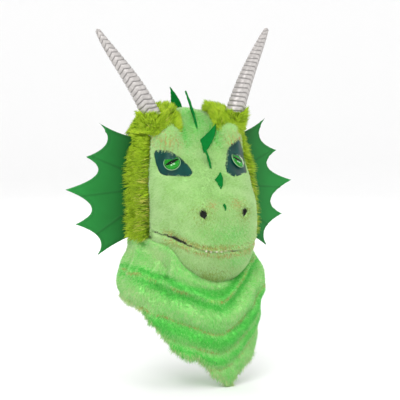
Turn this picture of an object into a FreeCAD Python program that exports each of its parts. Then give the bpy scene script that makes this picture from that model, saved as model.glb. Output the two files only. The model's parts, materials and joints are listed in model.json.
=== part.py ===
import FreeCAD, Part
import math
import os

os.makedirs("parts", exist_ok=True)

# Full-head dragon mask with a moving mouth, in millimetres.
# +Z is up and the snout points to -Y. The dragon's left side is +X.
# The origin is on the underside of the crown pad, where the wearer's crown bears.

V = FreeCAD.Vector

# ---- layers of the head, measured inwards from the outside of the cover
COVER = 5.0                # plush cover
SHELL = 2.5                # moulded inner shell
SHELL_IN = COVER + SHELL
PLATE = 2.0                # horn flanges
RING_POINTS = 20
REACH = 320.0              # larger than the object, for cutting blocks

# ---- head, as rings from the crown down:
# height, half width, front, back, widest line, squareness of the front, share of an inset taken in height
HEAD_RINGS = [
    (20.0, 42.0, 0.0, 50.0, 25.0, 2.4, 1.0),
    (15.0, 66.0, -14.0, 68.0, 23.0, 2.6, 0.9),
    (5.0, 83.0, -26.0, 85.0, 21.0, 2.8, 0.7),
    (-15.0, 93.0, -43.0, 98.0, 16.0, 2.6, 0.5),
    (-48.0, 98.0, -71.0, 107.0, 11.0, 2.3, 0.35),
    (-83.0, 99.0, -103.0, 108.0, 8.0, 2.3, 0.3),
    (-113.0, 99.0, -134.0, 104.0, 6.0, 2.4, 0.2),
    (-145.0, 98.0, -152.0, 98.0, 5.0, 2.5, 0.1),
    (-206.0, 96.0, -157.0, 90.0, 5.0, 2.5, 0.0),
    (-240.0, 96.0, -157.0, 88.0, 5.0, 2.5, 0.0),
]
BACK_SQUARENESS = 2.2

# ---- lower jaw, the same way, from above the lip down to the chin
JAW_RINGS = [
    (-175.0, 91.0, -152.0, 70.0, 5.0, 2.5, 0.0),
    (-207.0, 91.0, -152.0, 60.0, 5.0, 2.5, 0.0),
    (-225.0, 86.0, -144.0, 30.0, -14.0, 2.4, -0.3),
    (-245.0, 72.0, -129.0, -15.0, -42.0, 2.3, -0.6),
    (-260.0, 54.0, -114.0, -34.0, -60.0, 2.2, -0.8),
    (-271.0, 34.0, -99.0, -50.0, -74.0, 2.1, -1.0),
]

# ---- neck collar and bib
COLLAR_RINGS = [
    (-195.0, 101.0, -108.0, 93.0, -5.0, 2.0, 0.0),
    (-230.0, 112.0, -126.0, 100.0, -10.0, 2.0, 0.0),
    (-266.0, 127.0, -142.0, 110.0, -15.0, 2.0, 0.0),
    (-300.0, 118.0, -139.0, 104.0, -17.0, 2.0, 0.0),
]
BIB_RINGS = [
    (-300.0, 118.0, -139.0, 104.0, -17.0, 2.0, 0.0),
    (-350.0, 114.0, -136.0, 100.0, -17.0, 2.0, 0.0),
    (-400.0, 110.0, -129.0, 96.0, -17.0, 2.0, 0.0),
    (-460.0, 106.0, -121.0, 92.0, -17.0, 2.0, 0.0),
]
BIB_OUTLINE = [(-114, -300), (-101, -330), (-76, -371), (-63, -387), (-34, -396), (-14, -417), (26, -441),
               (47, -416), (74, -400), (86, -378), (98, -347), (114, -300)]
COLLAR_TOP = -195.0
COLLAR_FRONT_TOP = -288.0
COLLAR_FRONT_Y = -110.0
COLLAR_REAR_Y = -10.0
SHELL_TONGUE_HALF = 60.0

# ---- seams
SEAM = [(-20.0, -12.0), (-36.0, -62.0), (-46.0, -115.0), (-48.0, -190.0)]  # (y, z) where face meets mane
MANE_BACK = 0.8
HOOD_FRONT = 10.0
TONGUE_HALF = 38.0         # the face panel runs back over the crown between the horns
TONGUE_BACK = 52.0
SIDE_BOTTOM = SEAM[-1][1]  # lower edge of the mane
SHOULDER_BOTTOM = SEAM[0][1]  # the crown cover ends here beside the horns and the mane starts
TONGUE_BOTTOM = -30.0      # the tongue over the crown is cut from the cover down to here
FUR_INNER = 40.0           # mane and tufts start this far from the midline
MANE_PILE = 9.0            # how far the fur's solid stands out of the cover
TUFT_PILE = 15.0
TUFT_FRONT = -46.0
HOOD_BOTTOM = -193.0

# ---- mouth
LIP_FRONT = (-157.0, -205.0)
LIP_BACK = (-20.0, -187.0)
MOUTH_GAP = 4.0
SHELL_LIP_OFFSET = -1.5
JAW_REAR_TOP = (-24.0, -190.0)
JAW_REAR_BOTTOM = (-74.0, -276.0)
TOOTH_PITCH = 9.0
TOOTH_RADIUS = 4.0
UPPER_TEETH = (0.8, 3.0)   # insets of the row of teeth, in front of the lower lip
UPPER_TOOTH = 6.5
UPPER_GUM = 1.5
LOWER_TEETH = (7.5, 10.0)
LOWER_TOOTH = 6.0
LOWER_GUM = 6.0
TEETH_BACK = -82.0
LINING_BACK = -76.0
UPPER_LINING = (18.0, 20.0)
LOWER_LINING = (12.5, 14.5)
LINING_DEPTH = 24.0

# ---- jaw hinge
PIVOT_Y = 0.0
PIVOT_Z = -135.0
PIN_RADIUS = 3.0
PIN_CLEARANCE = 0.05
PIN_HEAD_RADIUS = 6.5
ARM_INNER = 80.0
ARM_THICKNESS = 3.0
WASHER = 0.4
FACE_GAP = 0.1
HINGE_BOSS_RADIUS = 14.0
PIN_HEAD = 1.6
PIN_SINK = 2.5             # how far the pin goes into the shell's boss
WASHER_RIM = 2.0
ARM_OUTLINE = [(-15.0, -131.0), (15.0, -139.0), (-22.0, -206.0), (-62.0, -206.0), (-62.0, -196.0)]
ELASTIC = ((76.0, -70.0, -203.0), (77.5, -62.0, -163.0))

# ---- horns
HORN_ROOT = V(71, -24, -10)
HORN_LOW = V(84, -20, 28)
HORN_MIDDLE = V(122, 0, 98)
HORN_TIP = V(165, 18, 168)
HORN_BASE_RADIUS = 18.0
HORN_TIP_RADIUS = 3.5
HORN_FULLNESS = 0.65       # below 1 keeps the horn stout along its middle
HORN_FLANGE_RADIUS = 14.0
HORN_FLANGE_LOW = -45.0
HORN_SKIN = 2.0
HORN_RINGS = 7
HORN_CORE_MIN = 1.2

# ---- fins
FIN_ROOT_X = 93.0
FIN_ROOT_Y = 4.2
FIN_SWEEP = 10.4           # degrees back from square
FIN_THICKNESS = 5.0
FIN_CORE = 2.0
FIN_CORE_SCALE = 0.86
FIN_CORE_GAP = 8.0         # between the head's root line and the start of the core
FIN_TIPS = [(162, 6), (186, -53), (222, -109), (203, -170), (168, -227)]
FIN_VALLEYS = [(148, -28), (166, -82), (175, -141), (162, -195)]
FIN_ROOT_TOP = (90, -22)
FIN_ROOT_BOTTOM = (90, -187)
FIN_TOP_SAG = (128, -12)
FIN_BOTTOM_SAG = (130, -203)

# ---- spines along the midline: height on the profile, base length, rise, lean back, roll to the left in degrees
FELT = 3.5
SPINE_FOOT = 3.0           # how far a leaf reaches down into the cover before it is trimmed
CROWN_SPINE_Y = 36.0
SPINE_STEP = 4.0            # half the height over which the slope of the profile is measured
SPINES = [
    (19.0, 27.0, 48.0, 9.0, -19.0),
    (4.0, 38.0, 31.0, 50.0, -22.0),
    (-36.0, 30.0, 35.0, 40.0, 70.0),
    (-65.0, 24.0, 18.0, 24.0, -25.0),
    (-98.0, 26.0, 18.0, 16.0, 20.0),
    (-137.0, 15.0, 11.0, 9.0, -30.0),
]

# ---- eyes and nostrils
EYE_X = 61.0
EYE_Z = -62.0
EYE_OUTLINE = [(30, 22), (2, 24), (-22, 4), (-34, -20), (-6, -24), (22, -18), (32, -2)]
SURROUND = 2.0
IRIS_RADIUS = 14.5
IRIS_THICKNESS = 1.2
IRIS_LIFT = 2.6            # back of the iris above the cover
IRIS_GAP = 0.4
DOME_HEIGHT = 7.0
DOME_WALL = 1.6
NOSTRIL_X = 38.0
NOSTRIL_Z = -142.0
NOSTRIL_HALF = (6.0, 7.5)
NOSTRIL_LIFT = 1.0
EYE_PRISM_BACK = 14.0       # the panel's outline is swept from behind the skin
EYE_PRISM_DEPTH = 32.0
DOME_MARGIN = 2.0

# ---- harness and pads
CROWN_PAD_RADIUS = 40.0
CROWN_PAD_Y = 22.0
PAD = 9.0
BROW_PAD = ((-52.0, -REACH, -62.0), (52.0, -20.0, -36.0))
CHIN_PAD = ((-36.0, -108.0, -270.0), (36.0, -58.0, -236.0))
CHIN_CUP_RADIUS = 46.0
CHIN_CUP_CENTRE = V(0, -84, -198)
CHIN_STRAP = ((-REACH, -84.0, -232.5), (REACH, -62.0, -231.0))
STRAP_TOP = -70.0
STRAP_BOTTOM = -95.0
STRAP = 1.8
STRAP_INSET = 11.0
STRAP_GAP = 3.0            # half the gap between the two straps, inside the slider
STRAP_FRONT = -18.0
ANCHOR_BACK = -2.0
ANCHOR_FRONT = -16.0
ANCHOR_INNER = 60.0
ANCHOR_MARGIN = 3.0
SLIDER_HALF = 17.0
SLIDER_WALL = 1.5
SLIDER_FRONT = 60.0
SLIDER_MARGIN = 4.0


def signed_power(value, power):
    return math.copysign(abs(value) ** power, value)


def ring(level, inset):
    """A closed smooth outline at one height, shrunk by the inset."""
    height, half, front, back, widest, square, share = level
    half -= inset
    front += inset
    back -= inset
    points = []
    for k in range(RING_POINTS):
        turn = 2 * math.pi * k / RING_POINTS
        side = math.cos(turn)
        ahead = math.sin(turn)
        power = 2 / (square if ahead < 0 else BACK_SQUARENESS)
        depth = (widest - front) if ahead < 0 else (back - widest)
        points.append(V(half * signed_power(side, power), widest + depth * signed_power(ahead, power),
                        height - inset * share))
    curve = Part.BSplineCurve()
    curve.interpolate(Points=points, PeriodicFlag=True)
    return Part.Wire([curve.toShape()])


def form(levels, inset):
    """The solid through all rings of a form."""
    return Part.makeLoft([ring(level, inset) for level in levels], True)


def layer(levels, outer, inner):
    """A skin of a form between two insets."""
    return form(levels, outer).cut(form(levels, inner))


def block(low, high):
    return Part.makeBox(high[0] - low[0], high[1] - low[1], high[2] - low[2], V(*low))


def side_prism(points, x_low=-REACH, x_high=REACH):
    """A polygon given as (y, z) points, drawn out along X."""
    outline = [V(x_low, y, z) for y, z in points]
    face = Part.Face(Part.makePolygon(outline + outline[:1]))
    return face.extrude(V(x_high - x_low, 0, 0))


def lip_height(y, drop=0.0):
    slope = (LIP_BACK[1] - LIP_FRONT[1]) / (LIP_BACK[0] - LIP_FRONT[0])
    return LIP_FRONT[1] + slope * (y - LIP_FRONT[0]) - drop


def above_lip(y_back, drop=0.0):
    """Everything above the lip line and in front of y_back."""
    return side_prism([(-REACH, lip_height(-REACH, drop)), (y_back, lip_height(y_back, drop)),
                       (y_back, REACH), (-REACH, REACH)])


def seam_side(points):
    """Everything between the seam with the mane and the given (y, z) points that close the outline."""
    return side_prism(SEAM + points)


def jaw_space(drop):
    """Everything below the lip line and in front of the jaw's rear edge."""
    y_top, z_top = JAW_REAR_TOP
    y_low, z_low = JAW_REAR_BOTTOM
    return side_prism([(-REACH, lip_height(-REACH, drop)), (y_top, lip_height(y_top, drop)),
                       (y_low, z_low), (y_low, -REACH), (-REACH, -REACH)])


def ring_value(height, column):
    """A head dimension at any height, between the rings."""
    for upper, lower in zip(HEAD_RINGS, HEAD_RINGS[1:]):
        if upper[0] >= height >= lower[0]:
            share = (upper[0] - height) / (upper[0] - lower[0])
            return upper[column] + share * (lower[column] - upper[column])
    raise ValueError("height is outside the head")


def face_point(x, z):
    """The point of the cover's front at a given x and height."""
    half = ring_value(z, 1)
    front = ring_value(z, 2)
    widest = ring_value(z, 4)
    square = ring_value(z, 5)
    depth = (1 - abs(x / half) ** square) ** (1 / square)
    return V(x, widest - (widest - front) * depth, z)


def face_normal(x, z):
    step = 6.0
    across = face_point(x + step, z) - face_point(x - step, z)
    down = face_point(x, z - step) - face_point(x, z + step)
    normal = across.cross(down)
    normal.normalize()
    return normal if normal.y < 0 else normal * -1


def spline_face(points, closed=True):
    curve = Part.BSplineCurve()
    curve.interpolate(Points=points, PeriodicFlag=closed)
    return Part.Face(Part.Wire([curve.toShape()]))


def mirrored(shape):
    return shape.mirror(V(0, 0, 0), V(1, 0, 0))


def save(name, shape):
    shape.exportStep("parts/%s.step" % name)


def save_pair(name, shape, around=()):
    """Saves the left piece and its mirror image, each trimmed against the solids it lies on."""
    for side, piece in (("left", shape), ("right", mirrored(shape))):
        for solid in around:
            piece = piece.cut(solid)
        save(name + "_" + side, piece)


# ---- horns

def horn_solid(inset):
    """A curved taper with a blunt tip, shrunk by the inset."""
    spine = Part.BSplineCurve()
    spine.interpolate(Points=[HORN_ROOT, HORN_LOW, HORN_MIDDLE, HORN_TIP])
    wires = []
    for k in range(HORN_RINGS):
        share = k / (HORN_RINGS - 1)
        at = spine.FirstParameter + share * (spine.LastParameter - spine.FirstParameter)
        taper = (1 - share) ** HORN_FULLNESS
        radius = HORN_TIP_RADIUS + (HORN_BASE_RADIUS - HORN_TIP_RADIUS) * taper - inset
        centre = spine.value(at)
        along = spine.tangent(at)[0]
        if k == HORN_RINGS - 1:
            centre = centre - along * inset
        wires.append(Part.Wire([Part.Circle(centre, along, max(radius, HORN_CORE_MIN)).toShape()]))
    return Part.makeLoft(wires, True)


def make_horns(under_cover):
    outer = horn_solid(0)
    inner = horn_solid(HORN_SKIN)
    save_pair("horn_skin", outer.cut(inner), [under_cover])
    save_pair("horn_core", inner, [under_cover])
    return outer


def make_horn_flanges(inner_shell):
    """Plates under the shell that the horns are fixed to, each cut from the inner surface of its own side."""
    plate = inner_shell.cut(form(HEAD_RINGS, SHELL_IN + PLATE))
    reach = Part.makeCylinder(HORN_FLANGE_RADIUS, REACH, V(HORN_ROOT.x, HORN_ROOT.y, HORN_FLANGE_LOW), V(0, 0, 1))
    save("horn_flange_left", plate.common(reach))
    save("horn_flange_right", plate.common(mirrored(reach)))


# ---- fins

def scallop(start, middle, end):
    """A parabola from start to end that passes through middle."""
    curve = Part.BezierCurve()
    curve.setPoles([start, middle * 2 - (start + end) * 0.5, end])
    return curve.toShape()


def fin_outline(scale):
    """The scalloped fin, as (x, z) points joined by scallops, scaled about the middle of its root."""
    hub = V(FIN_ROOT_X, 0, (FIN_ROOT_TOP[1] + FIN_ROOT_BOTTOM[1]) / 2)

    def place(point):
        return hub + (V(point[0], 0, point[1]) - hub) * scale

    edges = [scallop(place(FIN_ROOT_TOP), place(FIN_TOP_SAG), place(FIN_TIPS[0]))]
    for tip, valley, after in zip(FIN_TIPS, FIN_VALLEYS, FIN_TIPS[1:]):
        edges.append(scallop(place(tip), place(valley), place(after)))
    edges.append(scallop(place(FIN_TIPS[-1]), place(FIN_BOTTOM_SAG), place(FIN_ROOT_BOTTOM)))
    edges.append(Part.LineSegment(place(FIN_ROOT_BOTTOM), place(FIN_ROOT_TOP)).toShape())
    return Part.Face(Part.Wire(edges))


def fin_slab(scale, thickness):
    slab = fin_outline(scale).extrude(V(0, thickness, 0))
    slab.translate(V(0, FIN_ROOT_Y - thickness / 2, 0))
    slab.rotate(V(FIN_ROOT_X, FIN_ROOT_Y, 0), V(0, 0, 1), FIN_SWEEP)
    return slab


def make_fins(under_cover):
    head = block((-REACH, -REACH, -REACH), (FIN_ROOT_X + FIN_CORE_GAP, REACH, REACH))
    core = fin_slab(FIN_CORE_SCALE, FIN_CORE).cut(head)
    save_pair("fin_core", core)
    save_pair("fin_cover", fin_slab(1.0, FIN_THICKNESS).cut(core), [under_cover])


# ---- spines

def spine_leaf(height, base, rise, lean, roll):
    """A felt leaf standing on the midline, leaning back and rolled to one side."""
    step = SPINE_STEP
    if height < HEAD_RINGS[1][0]:
        foot = face_point(0, height)
        back = face_point(0, height + step) - face_point(0, height - step)
        back.normalize()
    else:
        foot = V(0, CROWN_SPINE_Y, height)
        back = V(0, 1, 0)
    up = V(1, 0, 0).cross(back)
    front = V(-base / 2, 0, -SPINE_FOOT)
    rear = V(base / 2, 0, -SPINE_FOOT)
    tip = V(lean, 0, rise)
    front_edge = Part.Arc(front, V(lean * 0.42 - base * 0.28, 0, rise * 0.5), tip).toShape()
    rear_edge = Part.Arc(tip, V(lean * 0.45 + base * 0.26, 0, rise * 0.4), rear).toShape()
    bottom = Part.LineSegment(rear, front).toShape()
    leaf = Part.Face(Part.Wire([front_edge, rear_edge, bottom])).extrude(V(0, FELT, 0))
    leaf.translate(V(0, -FELT / 2, 0))
    leaf.Placement = FreeCAD.Placement(FreeCAD.Matrix(
        0, -1, 0, foot.x,
        back.y, 0, up.y, foot.y,
        back.z, 0, up.z, foot.z,
        0, 0, 0, 1)).multiply(leaf.Placement)
    leaf.rotate(foot, back, roll)
    return leaf


def make_spines(cover):
    for number, spine in enumerate(SPINES, 1):
        save("spine_%d" % number, spine_leaf(*spine).cut(cover))


# ---- eyes and nostrils

def eye_frame():
    """Centre, outward direction, and the directions away from the nose and up on the left eye."""
    centre = face_point(EYE_X, EYE_Z)
    out = face_normal(EYE_X, EYE_Z)
    away = V(0, 0, 1).cross(out) * -1
    away.normalize()
    if away.x < 0:
        away = away * -1
    up = out.cross(away)
    if up.z < 0:
        up = up * -1
    return centre, out, away, up


def make_eyes(cover, raised):
    centre, out, away, up = eye_frame()
    behind = centre - out * EYE_PRISM_BACK
    outline = [behind + away * a + up * b for a, b in EYE_OUTLINE]
    prism = spline_face(outline).extrude(out * EYE_PRISM_DEPTH)
    disc_base = centre + out * IRIS_LIFT
    disc = Part.makeCylinder(IRIS_RADIUS, IRIS_THICKNESS, disc_base, out)
    seat = Part.makeCylinder(IRIS_RADIUS + IRIS_GAP, REACH, disc_base - out * FACE_GAP, out)
    save_pair("eye_surround", raised.common(prism).cut(seat), [cover])
    save_pair("eye_iris", disc, [cover])
    radius = (IRIS_RADIUS ** 2 + DOME_HEIGHT ** 2) / (2 * DOME_HEIGHT)
    glass_base = disc_base + out * IRIS_THICKNESS
    ball = Part.makeSphere(radius, glass_base - out * (radius - DOME_HEIGHT))
    hollow = Part.makeSphere(radius - DOME_WALL, glass_base - out * (radius - DOME_HEIGHT))
    front = Part.makeCylinder(IRIS_RADIUS + DOME_MARGIN, DOME_HEIGHT + DOME_MARGIN, glass_base, out)
    save_pair("eye_dome", ball.cut(hollow).common(front), [cover])


def make_nostrils(cover, raised):
    centre = V(NOSTRIL_X, -REACH, NOSTRIL_Z)
    half_x, half_z = NOSTRIL_HALF
    ellipse = Part.Ellipse(centre + V(0, 0, half_z), centre + V(half_x, 0, 0), centre)
    prism = Part.Face(Part.Wire([ellipse.toShape()])).extrude(V(0, REACH, 0))
    save_pair("nostril", raised.common(prism), [cover])


# ---- covers on the head

def make_covers(cover, under_cover, horn):
    skin = cover.cut(under_cover)
    seam_y, seam_z = SEAM[0]
    tongue = block((-TONGUE_HALF, seam_y - 1, TONGUE_BOTTOM), (TONGUE_HALF, TONGUE_BACK, REACH))
    shoulders = block((-REACH, seam_y - 1, SHOULDER_BOTTOM), (REACH, HOOD_FRONT - FACE_GAP, REACH))
    front = seam_side([(SEAM[-1][0], lip_height(SEAM[-1][0])), (-REACH, lip_height(-REACH)),
                       (-REACH, REACH), (seam_y, REACH)])
    face = skin.common(front.fuse(tongue).fuse(shoulders))
    save("face_cover", face.cut(horn).cut(mirrored(horn)))
    hood_block = block((-REACH, HOOD_FRONT, HOOD_BOTTOM), (REACH, REACH, REACH))
    save("hood_cover", skin.common(hood_block).cut(tongue))
    fur = form(HEAD_RINGS, -MANE_PILE)
    mane_space = seam_side([(MANE_BACK, SIDE_BOTTOM), (MANE_BACK, SHOULDER_BOTTOM)])
    one_side = block((FUR_INNER, -REACH, -REACH), (REACH, REACH, REACH))
    save_pair("mane", fur.common(mane_space).common(one_side).cut(horn), [under_cover])
    crown_block = block((FUR_INNER, TUFT_FRONT, SHOULDER_BOTTOM), (REACH, HOOD_FRONT - FACE_GAP, REACH))
    tuft = form(HEAD_RINGS, -TUFT_PILE).common(crown_block)
    save_pair("horn_tuft", tuft.cut(horn), [cover])


# ---- head shell, pads and harness

def make_head_shell(under_cover, inner_shell):
    region = above_lip(HOOD_FRONT, SHELL_LIP_OFFSET).fuse(
        block((-SHELL_TONGUE_HALF, HOOD_FRONT - 1, TONGUE_BOTTOM), (SHELL_TONGUE_HALF, TONGUE_BACK, REACH)))
    shell = under_cover.cut(inner_shell).common(region)
    save("head_shell", shell)
    return shell


def make_pads(inner_shell):
    crown = Part.makeCylinder(CROWN_PAD_RADIUS, REACH, V(0, CROWN_PAD_Y, 0))
    save("crown_pad", inner_shell.common(crown))
    inner = form(HEAD_RINGS, SHELL_IN + PAD)
    save("brow_pad", inner_shell.cut(inner).common(block(*BROW_PAD)))


def make_harness():
    webbing = layer(HEAD_RINGS, STRAP_INSET, STRAP_INSET + STRAP)
    slider_block = block((-SLIDER_HALF, SLIDER_FRONT, STRAP_BOTTOM - SLIDER_MARGIN),
                         (SLIDER_HALF, REACH, STRAP_TOP + SLIDER_MARGIN))
    slider_body = layer(HEAD_RINGS, STRAP_INSET - SLIDER_WALL, STRAP_INSET + STRAP + SLIDER_WALL)
    slider = slider_body.common(slider_block)
    half_strap = block((STRAP_GAP, STRAP_FRONT, STRAP_BOTTOM), (REACH, REACH, STRAP_TOP))
    strap = webbing.common(half_strap)
    save_pair("head_strap", strap)
    save("strap_slider", slider.cut(strap).cut(mirrored(strap)))
    anchor = layer(HEAD_RINGS, SHELL_IN, STRAP_INSET)
    anchor_block = block((ANCHOR_INNER, ANCHOR_FRONT, STRAP_BOTTOM + ANCHOR_MARGIN),
                         (REACH, ANCHOR_BACK, STRAP_TOP - ANCHOR_MARGIN))
    save_pair("strap_anchor", anchor.common(anchor_block))


# ---- mouth

def lip_band(top, bottom, y_back):
    """The space between two heights measured from the lip line, in front of y_back."""
    return side_prism([(-REACH, lip_height(-REACH, -top)), (y_back, lip_height(y_back, -top)),
                       (y_back, lip_height(y_back, -bottom)), (-REACH, lip_height(-REACH, -bottom))])


def teeth(levels, insets, gum, root, tip):
    """A gum strip with pointed teeth from the root height to the tip height, measured from the lip line."""
    band = layer(levels, insets[0], insets[1])
    middle = ring((LIP_FRONT[1],) + levels_at_lip(levels), sum(insets) / 2)
    row = band.common(lip_band(gum[0], gum[1], TEETH_BACK))
    cones = []
    for point in middle.discretize(int(middle.Length / TOOTH_PITCH)):
        if point.y < TEETH_BACK - TOOTH_RADIUS:
            base = V(point.x, point.y, lip_height(point.y) + root)
            way = V(0, 0, math.copysign(1, tip - root))
            cones.append(Part.makeCone(TOOTH_RADIUS, 0.4, abs(tip - root), base, way))
    crowns = band.common(Part.makeCompound(cones))
    return row.fuse(crowns.Solids).removeSplitter()


def levels_at_lip(levels):
    """The ring sizes of a form nearest the lip line."""
    nearest = min(levels, key=lambda level: abs(level[0] - LIP_FRONT[1]))
    return nearest[1:]


def make_mouth():
    hang = -UPPER_TOOTH
    top = -FACE_GAP
    save("upper_teeth", teeth(HEAD_RINGS, UPPER_TEETH, (top, -UPPER_GUM), -UPPER_GUM / 2, hang))
    low = -MOUTH_GAP
    save("lower_teeth", teeth(JAW_RINGS, LOWER_TEETH, (low, low - LOWER_GUM), low, low + LOWER_TOOTH))
    upper = layer(HEAD_RINGS, UPPER_LINING[0], UPPER_LINING[1])
    save("upper_lining", upper.common(lip_band(LINING_DEPTH, 2, LINING_BACK)))
    lower = layer(JAW_RINGS, LOWER_LINING[0], LOWER_LINING[1])
    save("lower_lining", lower.common(lip_band(low - 1, low - LINING_DEPTH, LINING_BACK)))


# ---- jaw and its hinge

def make_jaw():
    outside = form(JAW_RINGS, 0)
    under = form(JAW_RINGS, COVER)
    inside = form(JAW_RINGS, SHELL_IN)
    cover = outside.cut(under).common(jaw_space(MOUTH_GAP))
    save("jaw_cover", cover)
    shell = under.cut(inside).common(jaw_space(MOUTH_GAP + 1))
    save("jaw_shell", shell)
    cup = Part.makeSphere(CHIN_CUP_RADIUS, CHIN_CUP_CENTRE)
    save("chin_pad", inside.common(block(*CHIN_PAD)).cut(cup))
    save("chin_strap", inside.common(block(*CHIN_STRAP)))
    return [shell, cover]


def arm_plate():
    """A flat arm from the pivot down to the jaw shell, in the YZ plane."""
    outline = side_prism(ARM_OUTLINE, ARM_INNER, ARM_INNER + ARM_THICKNESS)
    eye = Part.makeCylinder(HINGE_BOSS_RADIUS, ARM_THICKNESS, V(ARM_INNER, PIVOT_Y, PIVOT_Z), V(1, 0, 0))
    return outline.fuse(eye).removeSplitter()


def pivot_cylinder(radius, x_from, x_to):
    return Part.makeCylinder(radius, x_to - x_from, V(x_from, PIVOT_Y, PIVOT_Z), V(1, 0, 0))


def make_hinges(jaw_parts, inner_shell, head_shell):
    arm_outer = ARM_INNER + ARM_THICKNESS
    washer_outer = arm_outer + FACE_GAP + WASHER
    bore = pivot_cylinder(PIN_RADIUS + PIN_CLEARANCE, ARM_INNER - 1, arm_outer + 1)
    save_pair("jaw_arm", arm_plate().cut(bore), jaw_parts)
    ring_space = pivot_cylinder(PIN_HEAD_RADIUS + WASHER_RIM, arm_outer + FACE_GAP, washer_outer)
    save_pair("hinge_washer", ring_space.cut(pivot_cylinder(PIN_RADIUS, 0, REACH)))
    boss = inner_shell.common(pivot_cylinder(HINGE_BOSS_RADIUS, washer_outer, REACH))
    pin_end = washer_outer + PIN_SINK
    save_pair("hinge_plate", boss.cut(pivot_cylinder(PIN_RADIUS, 0, pin_end)), [head_shell])
    head = pivot_cylinder(PIN_HEAD_RADIUS, ARM_INNER - FACE_GAP - PIN_HEAD, ARM_INNER - FACE_GAP)
    save_pair("hinge_pin", head.fuse(pivot_cylinder(PIN_RADIUS, ARM_INNER - 1, pin_end)).removeSplitter())


def make_elastics():
    save_pair("jaw_elastic", block(*ELASTIC))


# ---- neck

def make_neck():
    skin = layer(COLLAR_RINGS, 0, COVER)
    rear = side_prism([(COLLAR_REAR_Y, 0), (REACH, 0), (REACH, -REACH), (-REACH, -REACH),
                       (-REACH, COLLAR_FRONT_TOP), (COLLAR_FRONT_Y, COLLAR_FRONT_TOP),
                       (COLLAR_REAR_Y, COLLAR_TOP + 1)])
    save("neck_collar", skin.common(rear))
    bib_skin = layer(BIB_RINGS, 0, COVER)
    left_top = V(BIB_OUTLINE[0][0], 0, BIB_OUTLINE[0][1])
    right_top = V(BIB_OUTLINE[-1][0], 0, BIB_OUTLINE[-1][1])
    curve = Part.BSplineCurve()
    curve.interpolate(Points=[V(x, 0, z) for x, z in BIB_OUTLINE])
    outline = Part.Wire([curve.toShape(), Part.LineSegment(right_top, left_top).toShape()])
    front = Part.Face(outline).extrude(V(0, -REACH, 0))
    save("bib", bib_skin.common(front))


def main():
    cover = form(HEAD_RINGS, 0)
    under_cover = form(HEAD_RINGS, COVER)
    inner_shell = form(HEAD_RINGS, SHELL_IN)
    raised = form(HEAD_RINGS, -SURROUND)
    horn = make_horns(under_cover)
    make_fins(under_cover)
    make_spines(cover)
    make_eyes(cover, raised)
    make_nostrils(cover, form(HEAD_RINGS, -NOSTRIL_LIFT))
    make_covers(cover, under_cover, horn)
    head_shell = make_head_shell(under_cover, inner_shell)
    make_horn_flanges(inner_shell)
    make_pads(inner_shell)
    make_harness()
    make_mouth()
    jaw_parts = make_jaw()
    make_hinges(jaw_parts, inner_shell, head_shell)
    make_elastics()
    make_neck()


main()
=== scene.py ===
import json
import math

import bmesh
import bpy
import numpy as np
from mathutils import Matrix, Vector
from mathutils.bvhtree import BVHTree
from mathutils.kdtree import KDTree


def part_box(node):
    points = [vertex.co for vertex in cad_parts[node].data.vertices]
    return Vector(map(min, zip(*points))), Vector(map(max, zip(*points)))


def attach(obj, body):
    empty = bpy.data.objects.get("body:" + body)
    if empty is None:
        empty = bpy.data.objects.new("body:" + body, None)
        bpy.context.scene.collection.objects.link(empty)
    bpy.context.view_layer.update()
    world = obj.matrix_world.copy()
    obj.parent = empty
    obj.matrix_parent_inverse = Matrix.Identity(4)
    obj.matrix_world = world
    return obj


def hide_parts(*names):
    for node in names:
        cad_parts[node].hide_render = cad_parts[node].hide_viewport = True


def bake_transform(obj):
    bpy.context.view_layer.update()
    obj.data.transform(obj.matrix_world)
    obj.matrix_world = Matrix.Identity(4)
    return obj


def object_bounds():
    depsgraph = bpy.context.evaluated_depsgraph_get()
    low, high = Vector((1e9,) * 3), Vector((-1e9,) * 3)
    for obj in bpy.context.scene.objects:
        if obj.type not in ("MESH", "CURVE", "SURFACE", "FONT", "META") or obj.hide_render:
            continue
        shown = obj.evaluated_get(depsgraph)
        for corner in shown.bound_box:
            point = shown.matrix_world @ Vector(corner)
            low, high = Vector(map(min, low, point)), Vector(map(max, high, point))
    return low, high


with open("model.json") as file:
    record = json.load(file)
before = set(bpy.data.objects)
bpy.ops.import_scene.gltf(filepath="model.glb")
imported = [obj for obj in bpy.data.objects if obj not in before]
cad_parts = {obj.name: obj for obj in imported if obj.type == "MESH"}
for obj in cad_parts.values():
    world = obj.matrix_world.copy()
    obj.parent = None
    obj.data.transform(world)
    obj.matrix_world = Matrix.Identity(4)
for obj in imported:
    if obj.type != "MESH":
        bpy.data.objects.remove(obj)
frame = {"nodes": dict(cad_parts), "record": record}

cad_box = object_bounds()

# Everything is in metres. The snout points to -Y, and the dragon's left side is +X.
SIDES = (("left", 1), ("right", -1))
FAR = 0.4                    # farther out than any part of the neck
THIN = 1e-9                  # keeps a vector of no length from dividing by nothing
HEAD_CENTRE = (0, 0.02, -0.09)      # inside the head, the face and the jaw: hair grows away from them
FACE_CENTRE = (0, 0.01, -0.09)
JAW_CENTRE = (0, -0.03, -0.20)


# ---------------------------------------------------------------- places, worked out from the frame

def middle(node):
    low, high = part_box(node)
    return np.array((low + high) / 2)


def thin_direction(node, toward):
    """The direction across a flat node, pointing roughly toward a given one."""
    points = points_of(frame["nodes"][node])
    spread = np.linalg.svd(points - points.mean(0), full_matrices=False)[2]
    return spread[2] if spread[2] @ np.array(toward) > 0 else -spread[2]


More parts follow.
